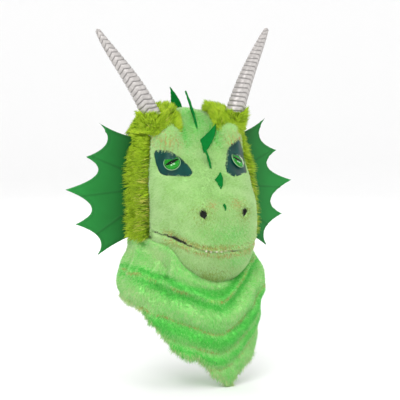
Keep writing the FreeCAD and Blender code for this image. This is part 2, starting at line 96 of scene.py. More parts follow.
FACE_LOW, FACE_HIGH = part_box("face_cover")
COLLAR_LOW, COLLAR_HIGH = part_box("neck_collar")
MANE_LOW, MANE_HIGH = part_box("mane_left")
FIN_LOW, FIN_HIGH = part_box("fin_cover_left")
JAW_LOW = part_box("jaw_cover")[0]
BIB_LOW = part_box("bib")[0]
HOOD_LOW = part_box("hood_cover")[0]
HORN_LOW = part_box("horn_skin_left")[0]
EYE = middle("eye_iris_left")
NOSTRIL = middle("nostril_left")
NOSE_Y = FACE_LOW.y
LIP_Z = FACE_LOW.z
HEAD_HALF = FACE_HIGH.x
NECK_Y = middle("neck_collar")[1]


# ---------------------------------------------------------------- mesh helpers

def new_object(name, mesh):
    ob = bpy.data.objects.new(name, mesh)
    bpy.context.scene.collection.objects.link(ob)
    return ob


def triangle_piece(name, points, triangles, shades, materials):
    """A mesh from arrays, with one material index per triangle."""
    mesh = bpy.data.meshes.new(name)
    count = len(triangles)
    mesh.vertices.add(len(points))
    mesh.vertices.foreach_set("co", np.asarray(points, np.float32).ravel())
    mesh.loops.add(count * 3)
    mesh.loops.foreach_set("vertex_index", np.asarray(triangles, np.int32).ravel())
    mesh.polygons.add(count)
    mesh.polygons.foreach_set("loop_start", np.arange(0, count * 3, 3, dtype=np.int32))
    mesh.polygons.foreach_set("material_index", np.asarray(shades, np.int32))
    mesh.polygons.foreach_set("use_smooth", np.ones(count, bool))
    mesh.update(calc_edges=True)
    for material in materials:
        mesh.materials.append(material)
    return new_object(name, mesh)


def face_piece(name, points, faces):
    mesh = bpy.data.meshes.new(name)
    mesh.from_pydata([tuple(p) for p in points], [], faces)
    mesh.update()
    mesh.polygons.foreach_set("use_smooth", np.ones(len(mesh.polygons), bool))
    return new_object(name, mesh)


def apply_modifiers(ob):
    view = bpy.context.evaluated_depsgraph_get()
    mesh = bpy.data.meshes.new_from_object(ob.evaluated_get(view))
    ob.modifiers.clear()
    ob.data = mesh
    return ob


def soft_copy(name, nodes, voxel, rounds=6):
    """One rounded skin around CAD nodes, as even faces."""
    joined = bmesh.new()
    for node in nodes:
        joined.from_mesh(frame["nodes"][node].data)
    mesh = bpy.data.meshes.new(name)
    joined.to_mesh(mesh)
    joined.free()
    ob = new_object(name, mesh)
    remesh = ob.modifiers.new("even", "REMESH")
    remesh.mode = "VOXEL"
    remesh.voxel_size = voxel
    remesh.use_smooth_shade = True
    smooth = ob.modifiers.new("round", "SMOOTH")
    smooth.iterations = rounds
    smooth.factor = 0.5
    return apply_modifiers(ob)


def read_vertices(ob, what):
    found = np.empty(len(ob.data.vertices) * 3, np.float32)
    ob.data.vertices.foreach_get(what, found)
    return found.reshape(-1, 3).astype(float)


def points_of(ob):
    return read_vertices(ob, "co")


def normals_of(ob):
    return read_vertices(ob, "normal")


def set_points(ob, points):
    ob.data.vertices.foreach_set("co", np.asarray(points, np.float32).ravel())
    ob.data.update()


def unit(vectors):
    return vectors / np.maximum(np.linalg.norm(vectors, axis=-1, keepdims=True), THIN)


def surface(*obs):
    """A tree for casting rays at the surfaces of objects."""
    points = []
    faces = []
    for ob in obs:
        start = len(points)
        points += [v.co.copy() for v in ob.data.vertices]
        faces += [[start + k for k in p.vertices] for p in ob.data.polygons]
    return BVHTree.FromPolygons(points, faces)


def dress(ob, body, material=None, stands_for=()):
    """Gives a piece its body and material, and hides the CAD nodes that it stands for."""
    if material:
        ob.data.materials.append(material)
    if stands_for:
        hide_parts(*stands_for)
    if body:
        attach(ob, body)
    return ob


# ---------------------------------------------------------------- noise and falloff

def waves(points, scale, seed):
    """Soft noise from about -1 to 1, as a sum of turned sine waves."""
    rng = np.random.default_rng(seed)
    total = np.zeros(len(points))
    for k in range(6):
        way = unit(rng.normal(size=3))
        total += np.sin(points @ way * (2 * math.pi / scale) * (0.7 + 0.25 * k) + rng.random() * 2 * math.pi)
    return total / 3.2


def clouds(points, scale, seed):
    """Soft noise from about 0 to 1."""
    return 0.5 + 0.5 * waves(points, scale, seed)


def blob(points, centre, radius):
    """1 at the centre, fading to 0; the radius may differ along x, y and z."""
    away = (points - np.array(centre)) / np.array(radius)
    return np.exp(-(away ** 2).sum(1))


def folded(points):
    """Points with the dragon's right side laid over its left."""
    over = points.copy()
    over[:, 0] = np.abs(over[:, 0])
    return over


def both_sides(points, centre, radius):
    return blob(folded(points), centre, radius)


def band(values, centre, width):
    return np.exp(-((values - centre) / width) ** 2)


def between(low, high, share):
    return np.array(low) * (1 - share) + np.array(high) * share


# ---------------------------------------------------------------- materials

def shade(red, green, blue):
    """A colour given as on a screen, 0 to 255, made linear."""
    return tuple(((c / 255 + 0.055) / 1.055) ** 2.4 if c > 10 else c / 255 / 12.92
                 for c in (red, green, blue))


def added(material, kind, values=(), **settings):
    """A new shader node with its settings and the values on its sockets."""
    node = material.node_tree.nodes.new("ShaderNode" + kind)
    for name, value in settings.items():
        setattr(node, name, value)
    for socket, value in values:
        node.inputs[socket].default_value = value
    return node


def shader_of(material):
    return material.node_tree.nodes["Principled BSDF"]


def add_bump(material, height, strength, depth):
    """Bump from a height socket, on the material's shader."""
    bump = added(material, "Bump", (("Strength", strength), ("Distance", depth)))
    links = material.node_tree.links
    links.new(height, bump.inputs["Height"])
    links.new(bump.outputs["Normal"], shader_of(material).inputs["Normal"])


def add_noise(material, scale, detail):
    """Noise fixed to the object, as a socket."""
    place = added(material, "TexCoord")
    noise = added(material, "TexNoise", (("Scale", scale), ("Detail", detail)))
    material.node_tree.links.new(place.outputs["Object"], noise.inputs["Vector"])
    return noise.outputs["Fac"]


def plain(name, color, roughness, sheen=0.0, metallic=0.0, coat=0.0, shine=0.5, grain=0.0,
          grain_scale=900.0, depth=0.0006):
    """A surface of one colour with a fine bumpy grain."""
    material = bpy.data.materials.new(name)
    material.use_nodes = True
    for socket, value in (("Base Color", (*color, 1)), ("Roughness", roughness), ("Metallic", metallic),
                          ("Sheen Weight", sheen), ("Coat Weight", coat), ("Specular IOR Level", shine)):
        shader_of(material).inputs[socket].default_value = value
    if grain:
        add_bump(material, add_noise(material, grain_scale, 4), grain, depth)
    return material


def mottled(name, low, high, roughness, scale=60.0, painted=False, **looks):
    """A colour that wanders between two shades, times the colour painted on the mesh if it has one."""
    material = plain(name, low, roughness, **looks)
    links = material.node_tree.links
    mix = added(material, "Mix", ((6, (*low, 1)), (7, (*high, 1))), data_type="RGBA")
    links.new(add_noise(material, scale, 6), mix.inputs["Factor"])
    result = mix.outputs[2]
    if painted:
        stored = added(material, "Attribute", attribute_name="paint")
        tinted = added(material, "Mix", (("Factor", 1.0),), data_type="RGBA", blend_type="MULTIPLY")
        links.new(stored.outputs["Color"], tinted.inputs[6])
        links.new(result, tinted.inputs[7])
        result = tinted.outputs[2]
    links.new(result, shader_of(material).inputs["Base Color"])
    return material


WAVE_PER_THREAD = 0.314      # the wave texture's scale times the thread's width


def woven(name, low, high, thread, roughness=0.8):
    """Cloth with threads crossing at right angles."""
    material = mottled(name, low, high, roughness, scale=90)
    links = material.node_tree.links
    place = added(material, "TexCoord")
    both = added(material, "Math", operation="MAXIMUM")
    for k, direction in enumerate(("X", "Z")):
        wave = added(material, "TexWave", (("Scale", WAVE_PER_THREAD / thread), ("Distortion", 0.3)),
                     bands_direction=direction)
        links.new(place.outputs["Object"], wave.inputs["Vector"])
        links.new(wave.outputs["Fac"], both.inputs[k])
    add_bump(material, both.outputs[0], 0.6, thread * 0.4)
    return material


PLUSH_SHADES = [(212, 248, 178), (196, 240, 158), (176, 226, 132), (140, 238, 122), (84, 220, 78),
                (38, 196, 50), (172, 204, 98), (124, 146, 48), (222, 188, 112), (176, 118, 58),
                (206, 232, 156)]
PALE, MINT, DEEP, LIGHT, VIVID, STRONG, OLIVE, MOSS, TAN, BROWN, HEM = range(len(PLUSH_SHADES))
LIME_SHADES = [(196, 222, 58), (180, 212, 34), (158, 196, 20), (132, 170, 14), (98, 132, 10), (212, 214, 92)]
PAINT_DRAWS = 8              # random draws of the hair's shade that the backing's paint is the mean of
WHITE = (1.0, 1.0, 1.0)


def hair_materials(prefix, colors, sheen):
    return [plain("%s_%d" % (prefix, k), shade(*c), 0.8, sheen=sheen, grain=0.15, grain_scale=2500.0)
            for k, c in enumerate(colors)]


PLUSH = hair_materials("plush_hair", PLUSH_SHADES, 0.1)
LIME = hair_materials("lime_hair", LIME_SHADES, 0.0)
PLUSH_SKIN = mottled("plush_backing", shade(225, 238, 220), WHITE, 0.9, scale=150, painted=True,
                     sheen=0.3, grain=0.8, grain_scale=1400)
LIME_SKIN = mottled("lime_backing", shade(104, 142, 14), shade(156, 194, 30), 0.9, scale=180,
                    grain=0.9, grain_scale=1200)


def paint(ob, colors):
    attribute = ob.data.color_attributes.new("paint", "FLOAT_COLOR", "POINT")
    full = np.ones((len(colors), 4), np.float32)
    full[:, :3] = colors
    attribute.data.foreach_set("color", full.ravel())


def paint_by_index(ob, index_of):
    """Paints the backing with the mean shade of the hair that grows on it."""
    points = points_of(ob)
    table = np.array([shade(*c) for c in PLUSH_SHADES])
    rng = np.random.default_rng(17)
    paint(ob, sum(table[index_of(points, rng)] for _ in range(PAINT_DRAWS)) / PAINT_DRAWS)


# ---------------------------------------------------------------- hair

def scatter(ob, count, seed, keep):
    """Random points on a mesh by area, with normals; keep weighs triangles by centre and normal."""
    mesh = ob.data
    mesh.calc_loop_triangles()
    corners = np.empty(len(mesh.loop_triangles) * 3, np.int32)
    mesh.loop_triangles.foreach_get("vertices", corners)
    corners = corners.reshape(-1, 3)
    points = points_of(ob)
    smooth = normals_of(ob)
    a, b, c = points[corners[:, 0]], points[corners[:, 1]], points[corners[:, 2]]
    area = np.linalg.norm(np.cross(b - a, c - a), axis=1) / 2
    normal = unit(smooth[corners].sum(1))
    area = area * keep((a + b + c) / 3, normal)
    rng = np.random.default_rng(seed)
    picked = rng.choice(len(area), count, p=area / area.sum())
    s, t = rng.random(count), rng.random(count)
    over = s + t > 1
    s[over], t[over] = 1 - s[over], 1 - t[over]
    spots = a[picked] + s[:, None] * (b - a)[picked] + t[:, None] * (c - a)[picked]
    return spots, normal[picked], rng


def cross_section(ways):
    """Two directions across each hair, from any direction that no hair follows."""
    side = unit(np.cross(ways, [0.31, 0.22, 0.93]))
    return side, np.cross(ways, side)


def three_corners(centres, side, other, radii):
    turns = [2 * math.pi * k / 3 for k in range(3)]
    return [centres + (side * math.cos(t) + other * math.sin(t)) * radii[:, None] for t in turns]


LONG_ROOT = 0.0012           # how deep hairs start in their backing
SHORT_ROOT = 0.0008
NAP_LENGTH = (0.0030, 0.0052)
NECK_NAP_LENGTH = (0.0034, 0.0060)
NAP_WIDTH = (0.0008, 0.0012)
HAIRS = {"face": 84000, "jaw": 36000, "neck": 84000, "hem": 9000, "mane": 9000, "horn_tuft": 8000,
         "horn_ruff": 3200, "temple": 3600, "hood": 17500}


def strands(name, roots, ways, bends, lengths, widths, shades, materials):
    """Long tapered closed hairs: each starts along its way, turns by its bend, and ends in a point."""
    ways = unit(ways)
    side, other = cross_section(ways)
    middles = roots + unit(ways + bends * 0.5) * lengths[:, None] * 0.5
    tips = middles + unit(ways + bends) * lengths[:, None] * 0.5
    corners = three_corners(roots - ways * LONG_ROOT, side, other, widths * 0.5)
    corners += three_corners(middles, side, other, widths * 0.42) + [tips]
    triangles = [(0, 2, 1)]
    for k in range(3):
        after = (k + 1) % 3
        triangles += [(k, after, 3 + after), (k, 3 + after, 3 + k), (3 + k, 3 + after, 6)]
    return hair_piece(name, corners, triangles, shades, materials)


def nap(name, roots, ways, lengths, widths, shades, materials):
    """Short plush hairs, each a closed spike of four faces."""
    ways = unit(ways)
    side, other = cross_section(ways)
    corners = three_corners(roots - ways * SHORT_ROOT, side, other, widths * 0.5)
    corners.append(roots + ways * lengths[:, None])
    return hair_piece(name, corners, [(0, 2, 1), (0, 1, 3), (1, 2, 3), (2, 0, 3)], shades, materials)


def hair_piece(name, corners, triangles, shades, materials):
    points = np.stack(corners, 1).reshape(-1, 3)
    starts = np.arange(len(corners[0]))[:, None, None] * len(corners)
    faces = (starts + np.array(triangles)[None]).reshape(-1, 3)
    return triangle_piece(name, points, faces, np.repeat(shades, len(triangles)), materials)


def along_surface(ways, normals, share=1.0):
    return unit(ways - normals * (ways * normals).sum(1, keepdims=True) * share)


def facing_out(centre, bald=None):
    """Weighs triangles for hair: those that face away from a centre, outside the bald places."""
    def keep(centres, normals):
        shown = (normals * unit(centres - np.array(centre))).sum(1) > 0.1
        return shown if bald is None else shown & ~bald(centres)
    return keep


def plush_nap(name, skin, count, seed, keep, lay_of, index_of, body, pieces=1, length=NAP_LENGTH):
    """Covers a skin with short nap, in one or more pieces, and returns them."""
    made = []
    for part in range(pieces):
        roots, normals, rng = scatter(skin, count // pieces, seed + part, keep)
        ways = normals * 0.75 + along_surface(lay_of(roots), normals) * 0.7
        ways += rng.normal(size=roots.shape) * 0.28
        lengths = rng.uniform(*length, len(roots))
        widths = rng.uniform(*NAP_WIDTH, len(roots))
        hair = nap("%s_%d" % (name, part + 1), roots, ways, lengths, widths, index_of(roots, rng), PLUSH)
        made.append(dress(hair, body))
    return made


# ---------------------------------------------------------------- airbrushed colour of the plush, and painted shade in the neck cloth's creases

def lip_height(y):
    """Height of the CAD's lip line at a given y."""
    share = (y - NOSE_Y) / (MANE_LOW.y - NOSE_Y)
    return LIP_Z + share * (MANE_LOW.z - LIP_Z)


def lip_lift(points):
    """How far the sewn lips stand above the CAD's straight lip line: most along the dragon's right side."""
    toward_right = 0.5 - 0.5 * np.tanh(points[:, 0] / 0.03)
    return 0.001 + (0.005 + 0.011 * toward_right) * np.clip((points[:, 1] - NOSE_Y - 0.008) / 0.034, 0, 1)


def draw(index, rng, weight, choice, top=0.9):
    """Gives points this shade at random, by weight."""
    return np.where(rng.random(len(index)) < np.clip(weight, 0, top), choice, index)


def head_shades(points, rng):
    """The hair's shade on the face and jaw: pale mint, with airbrushed greens, olive and brown."""
    x, y, z = points.T
    soft = clouds(points, 0.05, 3)
    fine = clouds(points, 0.012, 4)
    above = z - lip_height(y) - lip_lift(points)
    front = np.clip((NOSE_Y + 0.075 - y) / 0.03, 0, 1)
    dragon_right = np.clip((0.02 - x) / 0.03, 0, 1)
    index = draw(np.full(len(points), MINT), rng, 0.25 + 0.5 * soft, PALE)
    index = draw(index, rng, 0.30 * (1 - soft) + 0.06, DEEP)
    snout = blob(points, (0.012, NOSE_Y, LIP_Z + 0.026), (0.045, 0.03, 0.018))
    crown = blob(points, (0.0, -0.03, 0.005), (0.022, 0.06, 0.03))
    lip = blob(points, (0.035, JAW_LOW.y, JAW_LOW.z + 0.045), (0.03, 0.03, 0.012))
    index = draw(index, rng, 0.40 * snout + 0.45 * crown + 0.5 * lip, LIGHT)
    valley = both_sides(points, (0.030, -0.045, -0.014), (0.009, 0.03, 0.022))
    index = draw(index, rng, 0.7 * valley, LIGHT)
    index = draw(index, rng, 0.05 * snout + 0.22 * crown + 0.3 * valley, VIVID)
    chin = blob(points, (-0.022, JAW_LOW.y + 0.035, JAW_LOW.z + 0.012), (0.036, 0.06, 0.017))
    halo = both_sides(points, NOSTRIL, (0.015, 0.05, 0.015))
    corner = both_sides(points, (0.078, NOSE_Y + 0.062, LIP_Z + 0.002), (0.02, 0.02, 0.012))
    rim = band(above, 0.004, 0.0045) * front * (0.3 + 0.7 * dragon_right)
    below = band(above, -0.010, 0.005) * front
    index = draw(index, rng, 0.9 * chin + 0.55 * halo + 0.5 * corner + 0.5 * rim + 0.35 * below, OLIVE)
    pit = both_sides(points, NOSTRIL, (0.010, 0.05, 0.011))
    index = draw(index, rng, 0.15 * chin + 0.16 * pit + 0.2 * rim, MOSS)
    hatch = 0.5 + 0.5 * np.sin(np.abs(x) * 2 * math.pi / 0.0062 + 2.2 * waves(points, 0.02, 5))
    brow = both_sides(points, EYE + [0.004, 0.015, 0.034], (0.022, 0.04, 0.014))
    strokes = both_sides(points, NOSTRIL + [-0.016, 0, 0.014], (0.010, 0.04, 0.007))
    tan = 0.55 * brow * hatch + 0.4 * rim * fine + 0.4 * below * fine + 0.35 * strokes
    index = draw(index, rng, tan, TAN)
    edge = band(z, JAW_LOW.z + 0.012, 0.004) * front * fine
    brown = 0.10 * brow * hatch ** 3 + 0.14 * rim * fine + 0.2 * edge + 0.12 * below * fine ** 2
    return draw(index, rng, brown, BROWN)


def fold_level(points):
    """How far down the drape a point of the neck lies: folds hang in a lopsided V under the chin."""
    x = points[:, 0]
    arm = np.sqrt(x ** 2 + 0.02 ** 2) - 0.02
    return -points[:, 2] + arm * np.where(x < 0, 0.42, 0.80)


# Each band: its fold level, its half width and its strength.
GREEN_BANDS = ((0.284, 0.006, 1.0), (0.303, 0.008, 1.0), (0.366, 0.012, 1.0), (0.396, 0.006, 0.8))
# The brown lines are painted shade: they lie in the creases and under the overhangs of the folds in FOLDS.
CREASE_SHADE_LINES = ((0.293, 0.0022, 0.7), (0.350, 0.0022, 0.55), (0.384, 0.002, 0.5), (0.411, 0.002, 0.45))


def neck_shades(points, rng):
    """The hair's shade on the neck cloth: vivid green bands, pale ridges and thin brown lines of painted
    shade in the creases.
    """
    x, _, z = points.T
    level = fold_level(points) + 0.003 * waves(points, 0.07, 6)
    soft = clouds(points, 0.045, 7)
    fine = clouds(points, 0.02, 8)
    index = draw(np.full(len(points), MINT), rng, 0.35 * soft + 0.15, LIGHT)
    index = draw(index, rng, 0.3 * (1 - soft), PALE)
    green = sum(strength * band(level, at, width) for at, width, strength in GREEN_BANDS)
    upper = np.clip((z + 0.243) / 0.02, 0, 1)
    flank = np.clip((np.abs(x) - 0.105) / 0.02, 0, 1)
    index = draw(index, rng, (0.9 * green + 0.25) * (1 - upper) * (1 - 0.6 * flank), LIGHT)
    index = draw(index, rng, 0.75 * green * (1 - upper) * (1 - 0.7 * flank), VIVID)
    index = draw(index, rng, 0.10 * green * soft * (1 - upper) * (1 - flank), STRONG)
    # Painted shade in the creases, drawn as olive, tan and brown hair.
    brown = sum(strength * band(level, at, width) for at, width, strength in CREASE_SHADE_LINES)
    brown = brown * np.clip(0.9 + 1.2 * waves(points, 0.06, 9), 0, 1) * (1 - upper)
    index = draw(index, rng, brown * 0.8, OLIVE)
    index = draw(index, rng, brown * (0.1 + 0.6 * fine), TAN)
    return draw(index, rng, 0.12 * brown * fine, BROWN)


# ---------------------------------------------------------------- face and jaw

def sculpt_head(points):
    """Brow domes, bulges over the nostrils and rolled lips, pressed out of the plain cover."""
    side = np.where(points[:, 0] < 0, -1.0, 1.0)
    start = folded(points)
    moved = start.copy()
    bumps = (                # the centre, its radius along each axis, the way it is pushed and how far
        (EYE + [0.000, 0.034, 0.040], (0.026, 0.034, 0.026), (0.06, -0.78, 0.62), 0.024),
        (EYE + [0.000, 0.004, 0.026], (0.026, 0.03, 0.009), (0.1, -1.0, 0.1), 0.004),
        (EYE + [-0.002, 0.0, -0.030], (0.030, 0.03, 0.008), (0.1, -1.0, -0.1), 0.002),
        (NOSTRIL + [0.0, 0.0, 0.010], (0.019, 0.03, 0.016), (0.2, -0.95, 0.35), 0.006),
        (NOSTRIL, (0.0062, 0.02, 0.0082), (-0.1, 1.0, 0.0), 0.0075),
        (np.array([0.0, NOSE_Y + 0.105, -0.045]), (0.018, 0.05, 0.035), (0, 1, -0.3), 0.0035),
        (np.array([0.099, -0.06, -0.16]), (0.02, 0.05, 0.045), (-1, 0.2, 0), 0.0026),
        (np.array([0.0, 0.0, 0.025]), (0.018, 0.08, 0.03), (0, -0.2, 1), 0.006),
    )
    for centre, radius, way, height in bumps:
        moved = moved + blob(start, centre, radius)[:, None] * unit(np.array(way, float)) * height
    moved[:, 0] *= side
    moved += unit(points - np.array([0, 0.01, -0.1])) * (waves(points, 0.06, 12) * 0.001)[:, None]
    return shape_lips(moved, points, 0.0035)


def shape_lips(moved, points, part, flare=0.0):
    """Raises the lips above the CAD's straight line, parts them at the corners and rolls their edges."""
    y, z = points[:, 1], points[:, 2]
    front = np.clip((MANE_LOW.y - y) / 0.008, 0, 1)
    near = band(z, lip_height(y), 0.020)
    moved[:, 2] += lip_lift(points) * near * front
    moved[:, 2] += part * band(z, lip_height(y), 0.010) * band(y, NOSE_Y + 0.040, 0.014)
    roll = band(z, lip_height(y), 0.007) * front
    outward = unit(points * [1, 1, 0] + [0, 0.03, 0])
    moved += outward * (lip_lift(points) * near * front * flare)[:, None]
    moved += outward * (roll * (0.0014 + 0.0008 * waves(points, 0.03, 14)))[:, None]
    moved[:, 2] += roll * 0.0012 * waves(points, 0.022, 15)
    return moved


def bald_on_face(centres):
    """True in the nostrils and where the eye panels lie."""
    bald = both_sides(centres, NOSTRIL, (0.0078, 0.03, 0.0100)) > 0.5
    for side, sign in SIDES:
        eye = EyeFrame(side, sign)
        away = centres - eye.centre
        a, b = away @ eye.away, away @ eye.up
        inside = np.hypot(a, b) < eye.panel[turn_index(a, b, len(eye.panel))] - 0.001
        bald |= inside & (np.abs(away @ eye.out) < 0.03)
    return bald


def brushed_down(roots):
    lay = np.tile([0.0, 0.3, -0.95], (len(roots), 1))
    lay[:, 0] = roots[:, 0] * 5
    return lay


def make_head_plush():
    face = soft_copy("face_plush", ["face_cover"], 0.0024)
    set_points(face, sculpt_head(points_of(face)))
    paint_by_index(face, head_shades)
    dress(face, "head", PLUSH_SKIN, ["face_cover"])
    hairs = plush_nap("face_nap", face, HAIRS["face"], 21, facing_out(FACE_CENTRE, bald_on_face),
                      brushed_down, head_shades, "head", pieces=2)
    jaw = soft_copy("jaw_plush", ["jaw_cover"], 0.0022)
    set_points(jaw, shape_lips(points_of(jaw), points_of(jaw), -0.0055, 0.22))
    paint_by_index(jaw, head_shades)
    dress(jaw, "jaw", PLUSH_SKIN, ["jaw_cover"])
    hairs = plush_nap("jaw_nap", jaw, HAIRS["jaw"], 31, facing_out(JAW_CENTRE), brushed_down,
                      head_shades, "jaw")
    return face


# ---------------------------------------------------------------- lime fur

def lime_shades(points, rng):
    soft = clouds(points, 0.022, 31)
    # Painted shade: by the front seam, where the mane meets the face, the hairs lean to the darker shades.
    seam_shade = np.clip((-points[:, 1] - 0.022) / 0.02, 0, 1) * (points[:, 2] < MANE_HIGH.z - 0.03)
    throw = rng.random(len(points)) * 0.8 + soft * 0.4 + 0.35 * seam_shade
    return np.digitize(throw, [0.30, 0.60, 0.86, 1.04, 1.14])


LOCKS = 4096                 # how many different leans the locks of hair share out
CELL_HASH = np.array([73856093, 19349663, 83492791])


def clumped(roots, ways, share, size):
    """Leans hairs that share a small cell the same way, so that tips gather into locks."""
    cells = np.floor(roots / size).astype(np.int64)
    keys = np.abs(cells @ CELL_HASH) % LOCKS
    return unit(ways) + np.random.default_rng(5).normal(size=(LOCKS, 3))[keys] * share


LONG_WIDTH = (0.0010, 0.0017)
LONG_LOCK = (0.22, 0.010)    # how far the hairs of a lock lean together, and the lock's size


def long_fur(name, skin, count, seed, keep, lay_of, length, lift, trim=None):
    """A coat of long hair; trim gives the share of the full length at each root."""
    roots, normals, rng = scatter(skin, count, seed, keep)
    along = along_surface(lay_of(roots), normals, 0.6)
    ways = unit(normals * lift + along * 0.85) + rng.normal(size=roots.shape) * 0.14
    ways = clumped(roots, ways, *LONG_LOCK)
    bends = along * 0.5 + [0, 0, -0.25] + rng.normal(size=roots.shape) * 0.12
    lengths = rng.uniform(*length, len(roots)) * (1.0 if trim is None else trim(roots))
    widths = rng.uniform(*LONG_WIDTH, len(roots))
    hair = strands(name, roots, ways, bends, lengths, widths, lime_shades(roots, rng), LIME)
    return dress(hair, "head")


def lime_base(name, node, sink, sink_behind=0.0):
    """The fur's backing: the CAD solid rounded, its outer side sunk so that the pile fills the height."""
    skin = soft_copy(name, [node], 0.003, 10)
    normals = normals_of(skin)
    points = points_of(skin)
    low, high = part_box(node)
    behind = np.clip((points[:, 1] - low.y) / (high.y - low.y), 0, 1)
    outer = np.clip((normals * unit(points - np.array(HEAD_CENTRE))).sum(1), 0, 1)
    set_points(skin, points - normals * (outer * (sink + sink_behind * behind))[:, None])
    return dress(skin, "head", LIME_SKIN, [node])


RUFF_HEIGHTS = (-0.012, 0.020)      # where the hairs round a horn's foot start


def make_horn_ruff(side, sign):
    """Fur that stands up against the foot of a horn."""
    centre_of, radius_of = horn_line("horn_skin_" + side)
    shares = np.linspace(0, 0.4, 41)
    heights = [centre_of(s)[2] for s in shares]
    rng = np.random.default_rng(56 + sign)
    count = HAIRS["horn_ruff"]
    share = np.interp(rng.uniform(*RUFF_HEIGHTS, count), heights, shares)
    turn = rng.uniform(0, 2 * math.pi, count)
    radial = np.stack([np.cos(turn), np.sin(turn), np.zeros(count)], 1)
    roots = np.array([centre_of(s) for s in share]) + radial * radius_of(share)[:, None]
    ways = clumped(roots, radial * 0.75 + [0, -0.1, 0.7], *LONG_LOCK)
    bends = radial * 0.45 + rng.normal(size=roots.shape) * 0.12
    hair = strands("horn_ruff_" + side, roots, ways, bends, rng.uniform(0.010, 0.017, count),
                   rng.uniform(*LONG_WIDTH, count), lime_shades(roots, rng), LIME)
    dress(hair, "head")


# The lower edge of the fur on the temple: distance from the midline against height.
TEMPLE_EDGE = ([0.046, 0.056, 0.085, 0.093], [0.016, 0.002, -0.014, -0.042])


def make_temple_fur(face, side, sign):
    """Fur that comes down from the tuft over the upper corner of the face."""
    def corner(centres, _):
        outward = centres[:, 0] * sign
        edge = np.interp(outward, *TEMPLE_EDGE) + 0.003 * waves(centres, 0.02, 57)
        return (outward > TEMPLE_EDGE[0][0]) & (centres[:, 2] > edge) & (centres[:, 1] < 0)

    def outward_and_down(roots):
        return np.tile([0.8 * sign, -0.3, -0.35], (len(roots), 1))

    long_fur("temple_fur_" + side, face, HAIRS["temple"], 58 + sign, corner, outward_and_down,
             (0.009, 0.015), 0.6)


def make_lime_fur(face):
    for side, sign in SIDES:
        mane = lime_base("mane_base_" + side, "mane_" + side, 0.011)
        fin = middle("fin_cover_" + side)[1]

        def swept_out(roots, sign=sign):
            lay = np.tile([0.95 * sign, -0.15, -0.05], (len(roots), 1))
            lay[:, 1] -= 0.15 * waves(roots, 0.02, 33)
            lay[:, 2] += 0.35 * waves(roots, 0.03, 34)
            return lay

        def outer_face(_, normals, sign=sign):
            return normals[:, 0] * sign > 0.05

        def shorter_by_fin(roots, fin=fin):
            by_fin = np.clip(np.abs(roots[:, 1] - fin) / 0.014, 0.45, 1)
            return by_fin * np.clip(0.45 + (MANE_HIGH.z - roots[:, 2]) / 0.08, 0.45, 1)

        long_fur("mane_fur_" + side, mane, HAIRS["mane"], 40 + sign, outer_face, swept_out,
                 (0.009, 0.027), 0.50, shorter_by_fin)
        tuft = lime_base("horn_tuft_base_" + side, "horn_tuft_" + side, 0.009, 0.014)
        centre = middle("horn_tuft_" + side) - [0, 0, 0.04]

        def radiating(roots, centre=centre):
            return unit(roots - centre) + [0, 0.2, 0.3]

        def shorter_outside(roots):
            return np.clip(1.0 - (np.abs(roots[:, 0]) - HORN_LOW.x) / 0.05, 0.45, 1)

        long_fur("horn_tuft_fur_" + side, tuft, HAIRS["horn_tuft"], 50 + sign, facing_out(centre),
                 radiating, (0.009, 0.016), 0.75, shorter_outside)
        make_horn_ruff(side, sign)
        make_temple_fur(face, side, sign)
    hood = lime_base("hood_base", "hood_cover", 0.0)

    def down_the_back(roots):
        return np.tile([0.0, 0.35, -0.9], (len(roots), 1))

    def shorter_in_front(roots):
        return np.clip(0.35 + (roots[:, 1] - HOOD_LOW.y) / 0.07, 0.35, 1)

    long_fur("hood_fur", hood, HAIRS["hood"], 60, facing_out(HEAD_CENTRE), down_the_back,
             (0.015, 0.025), 0.40, shorter_in_front)


# ---------------------------------------------------------------- horns

HORN_RINGS = 23
HORN_STEPS = 10              # mesh rows per ring
HORN_AROUND = 40


def section_at(node, z):
    """The centre and the half depth of a node's horizontal section."""
    cut = bmesh.new()
    cut.from_mesh(frame["nodes"][node].data)
    found = bmesh.ops.bisect_plane(cut, geom=cut.verts[:] + cut.edges[:] + cut.faces[:],
                                   plane_co=(0, 0, z), plane_no=(0, 0, 1))
    points = np.array([e.co for e in found["geom_cut"] if isinstance(e, bmesh.types.BMVert)])
    cut.free()
    low, high = points.min(0), points.max(0)
    return (low + high) / 2, (high[1] - low[1]) / 2


def horn_line(node):
    """Centres and radii up the horn, as smooth functions of a share from 0 to 1."""
    levels = np.linspace(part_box(node)[0].z + 0.028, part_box(node)[1].z - 0.006, 12)
    sections = [section_at(node, z) for z in levels]
    centres = np.array([s[0] for s in sections])
    radii = np.array([s[1] for s in sections])
    root = centres[0] + (centres[0] - centres[1]) * 1.8
    centres = np.vstack([root, centres])
    radii = np.concatenate([[radii[0]], radii])
    share = np.concatenate([[0], np.cumsum(np.linalg.norm(np.diff(centres, axis=0), axis=1))])
    share /= share[-1]
    fits = [np.polynomial.Polynomial.fit(share, centres[:, k], 4) for k in range(3)]
    return (lambda s: np.array([fit(s) for fit in fits])), (lambda s: np.interp(s, share, radii))


def ring_profile(phase, facing):
    """How far each ring flares out, with a tight groove under its lip."""
    edge = min(phase, 1 - phase)
    return 1.0 + 0.05 * phase ** 2 - 0.13 * math.exp(-(edge / 0.10) ** 2) - 0.10 * max(facing, 0) ** 4


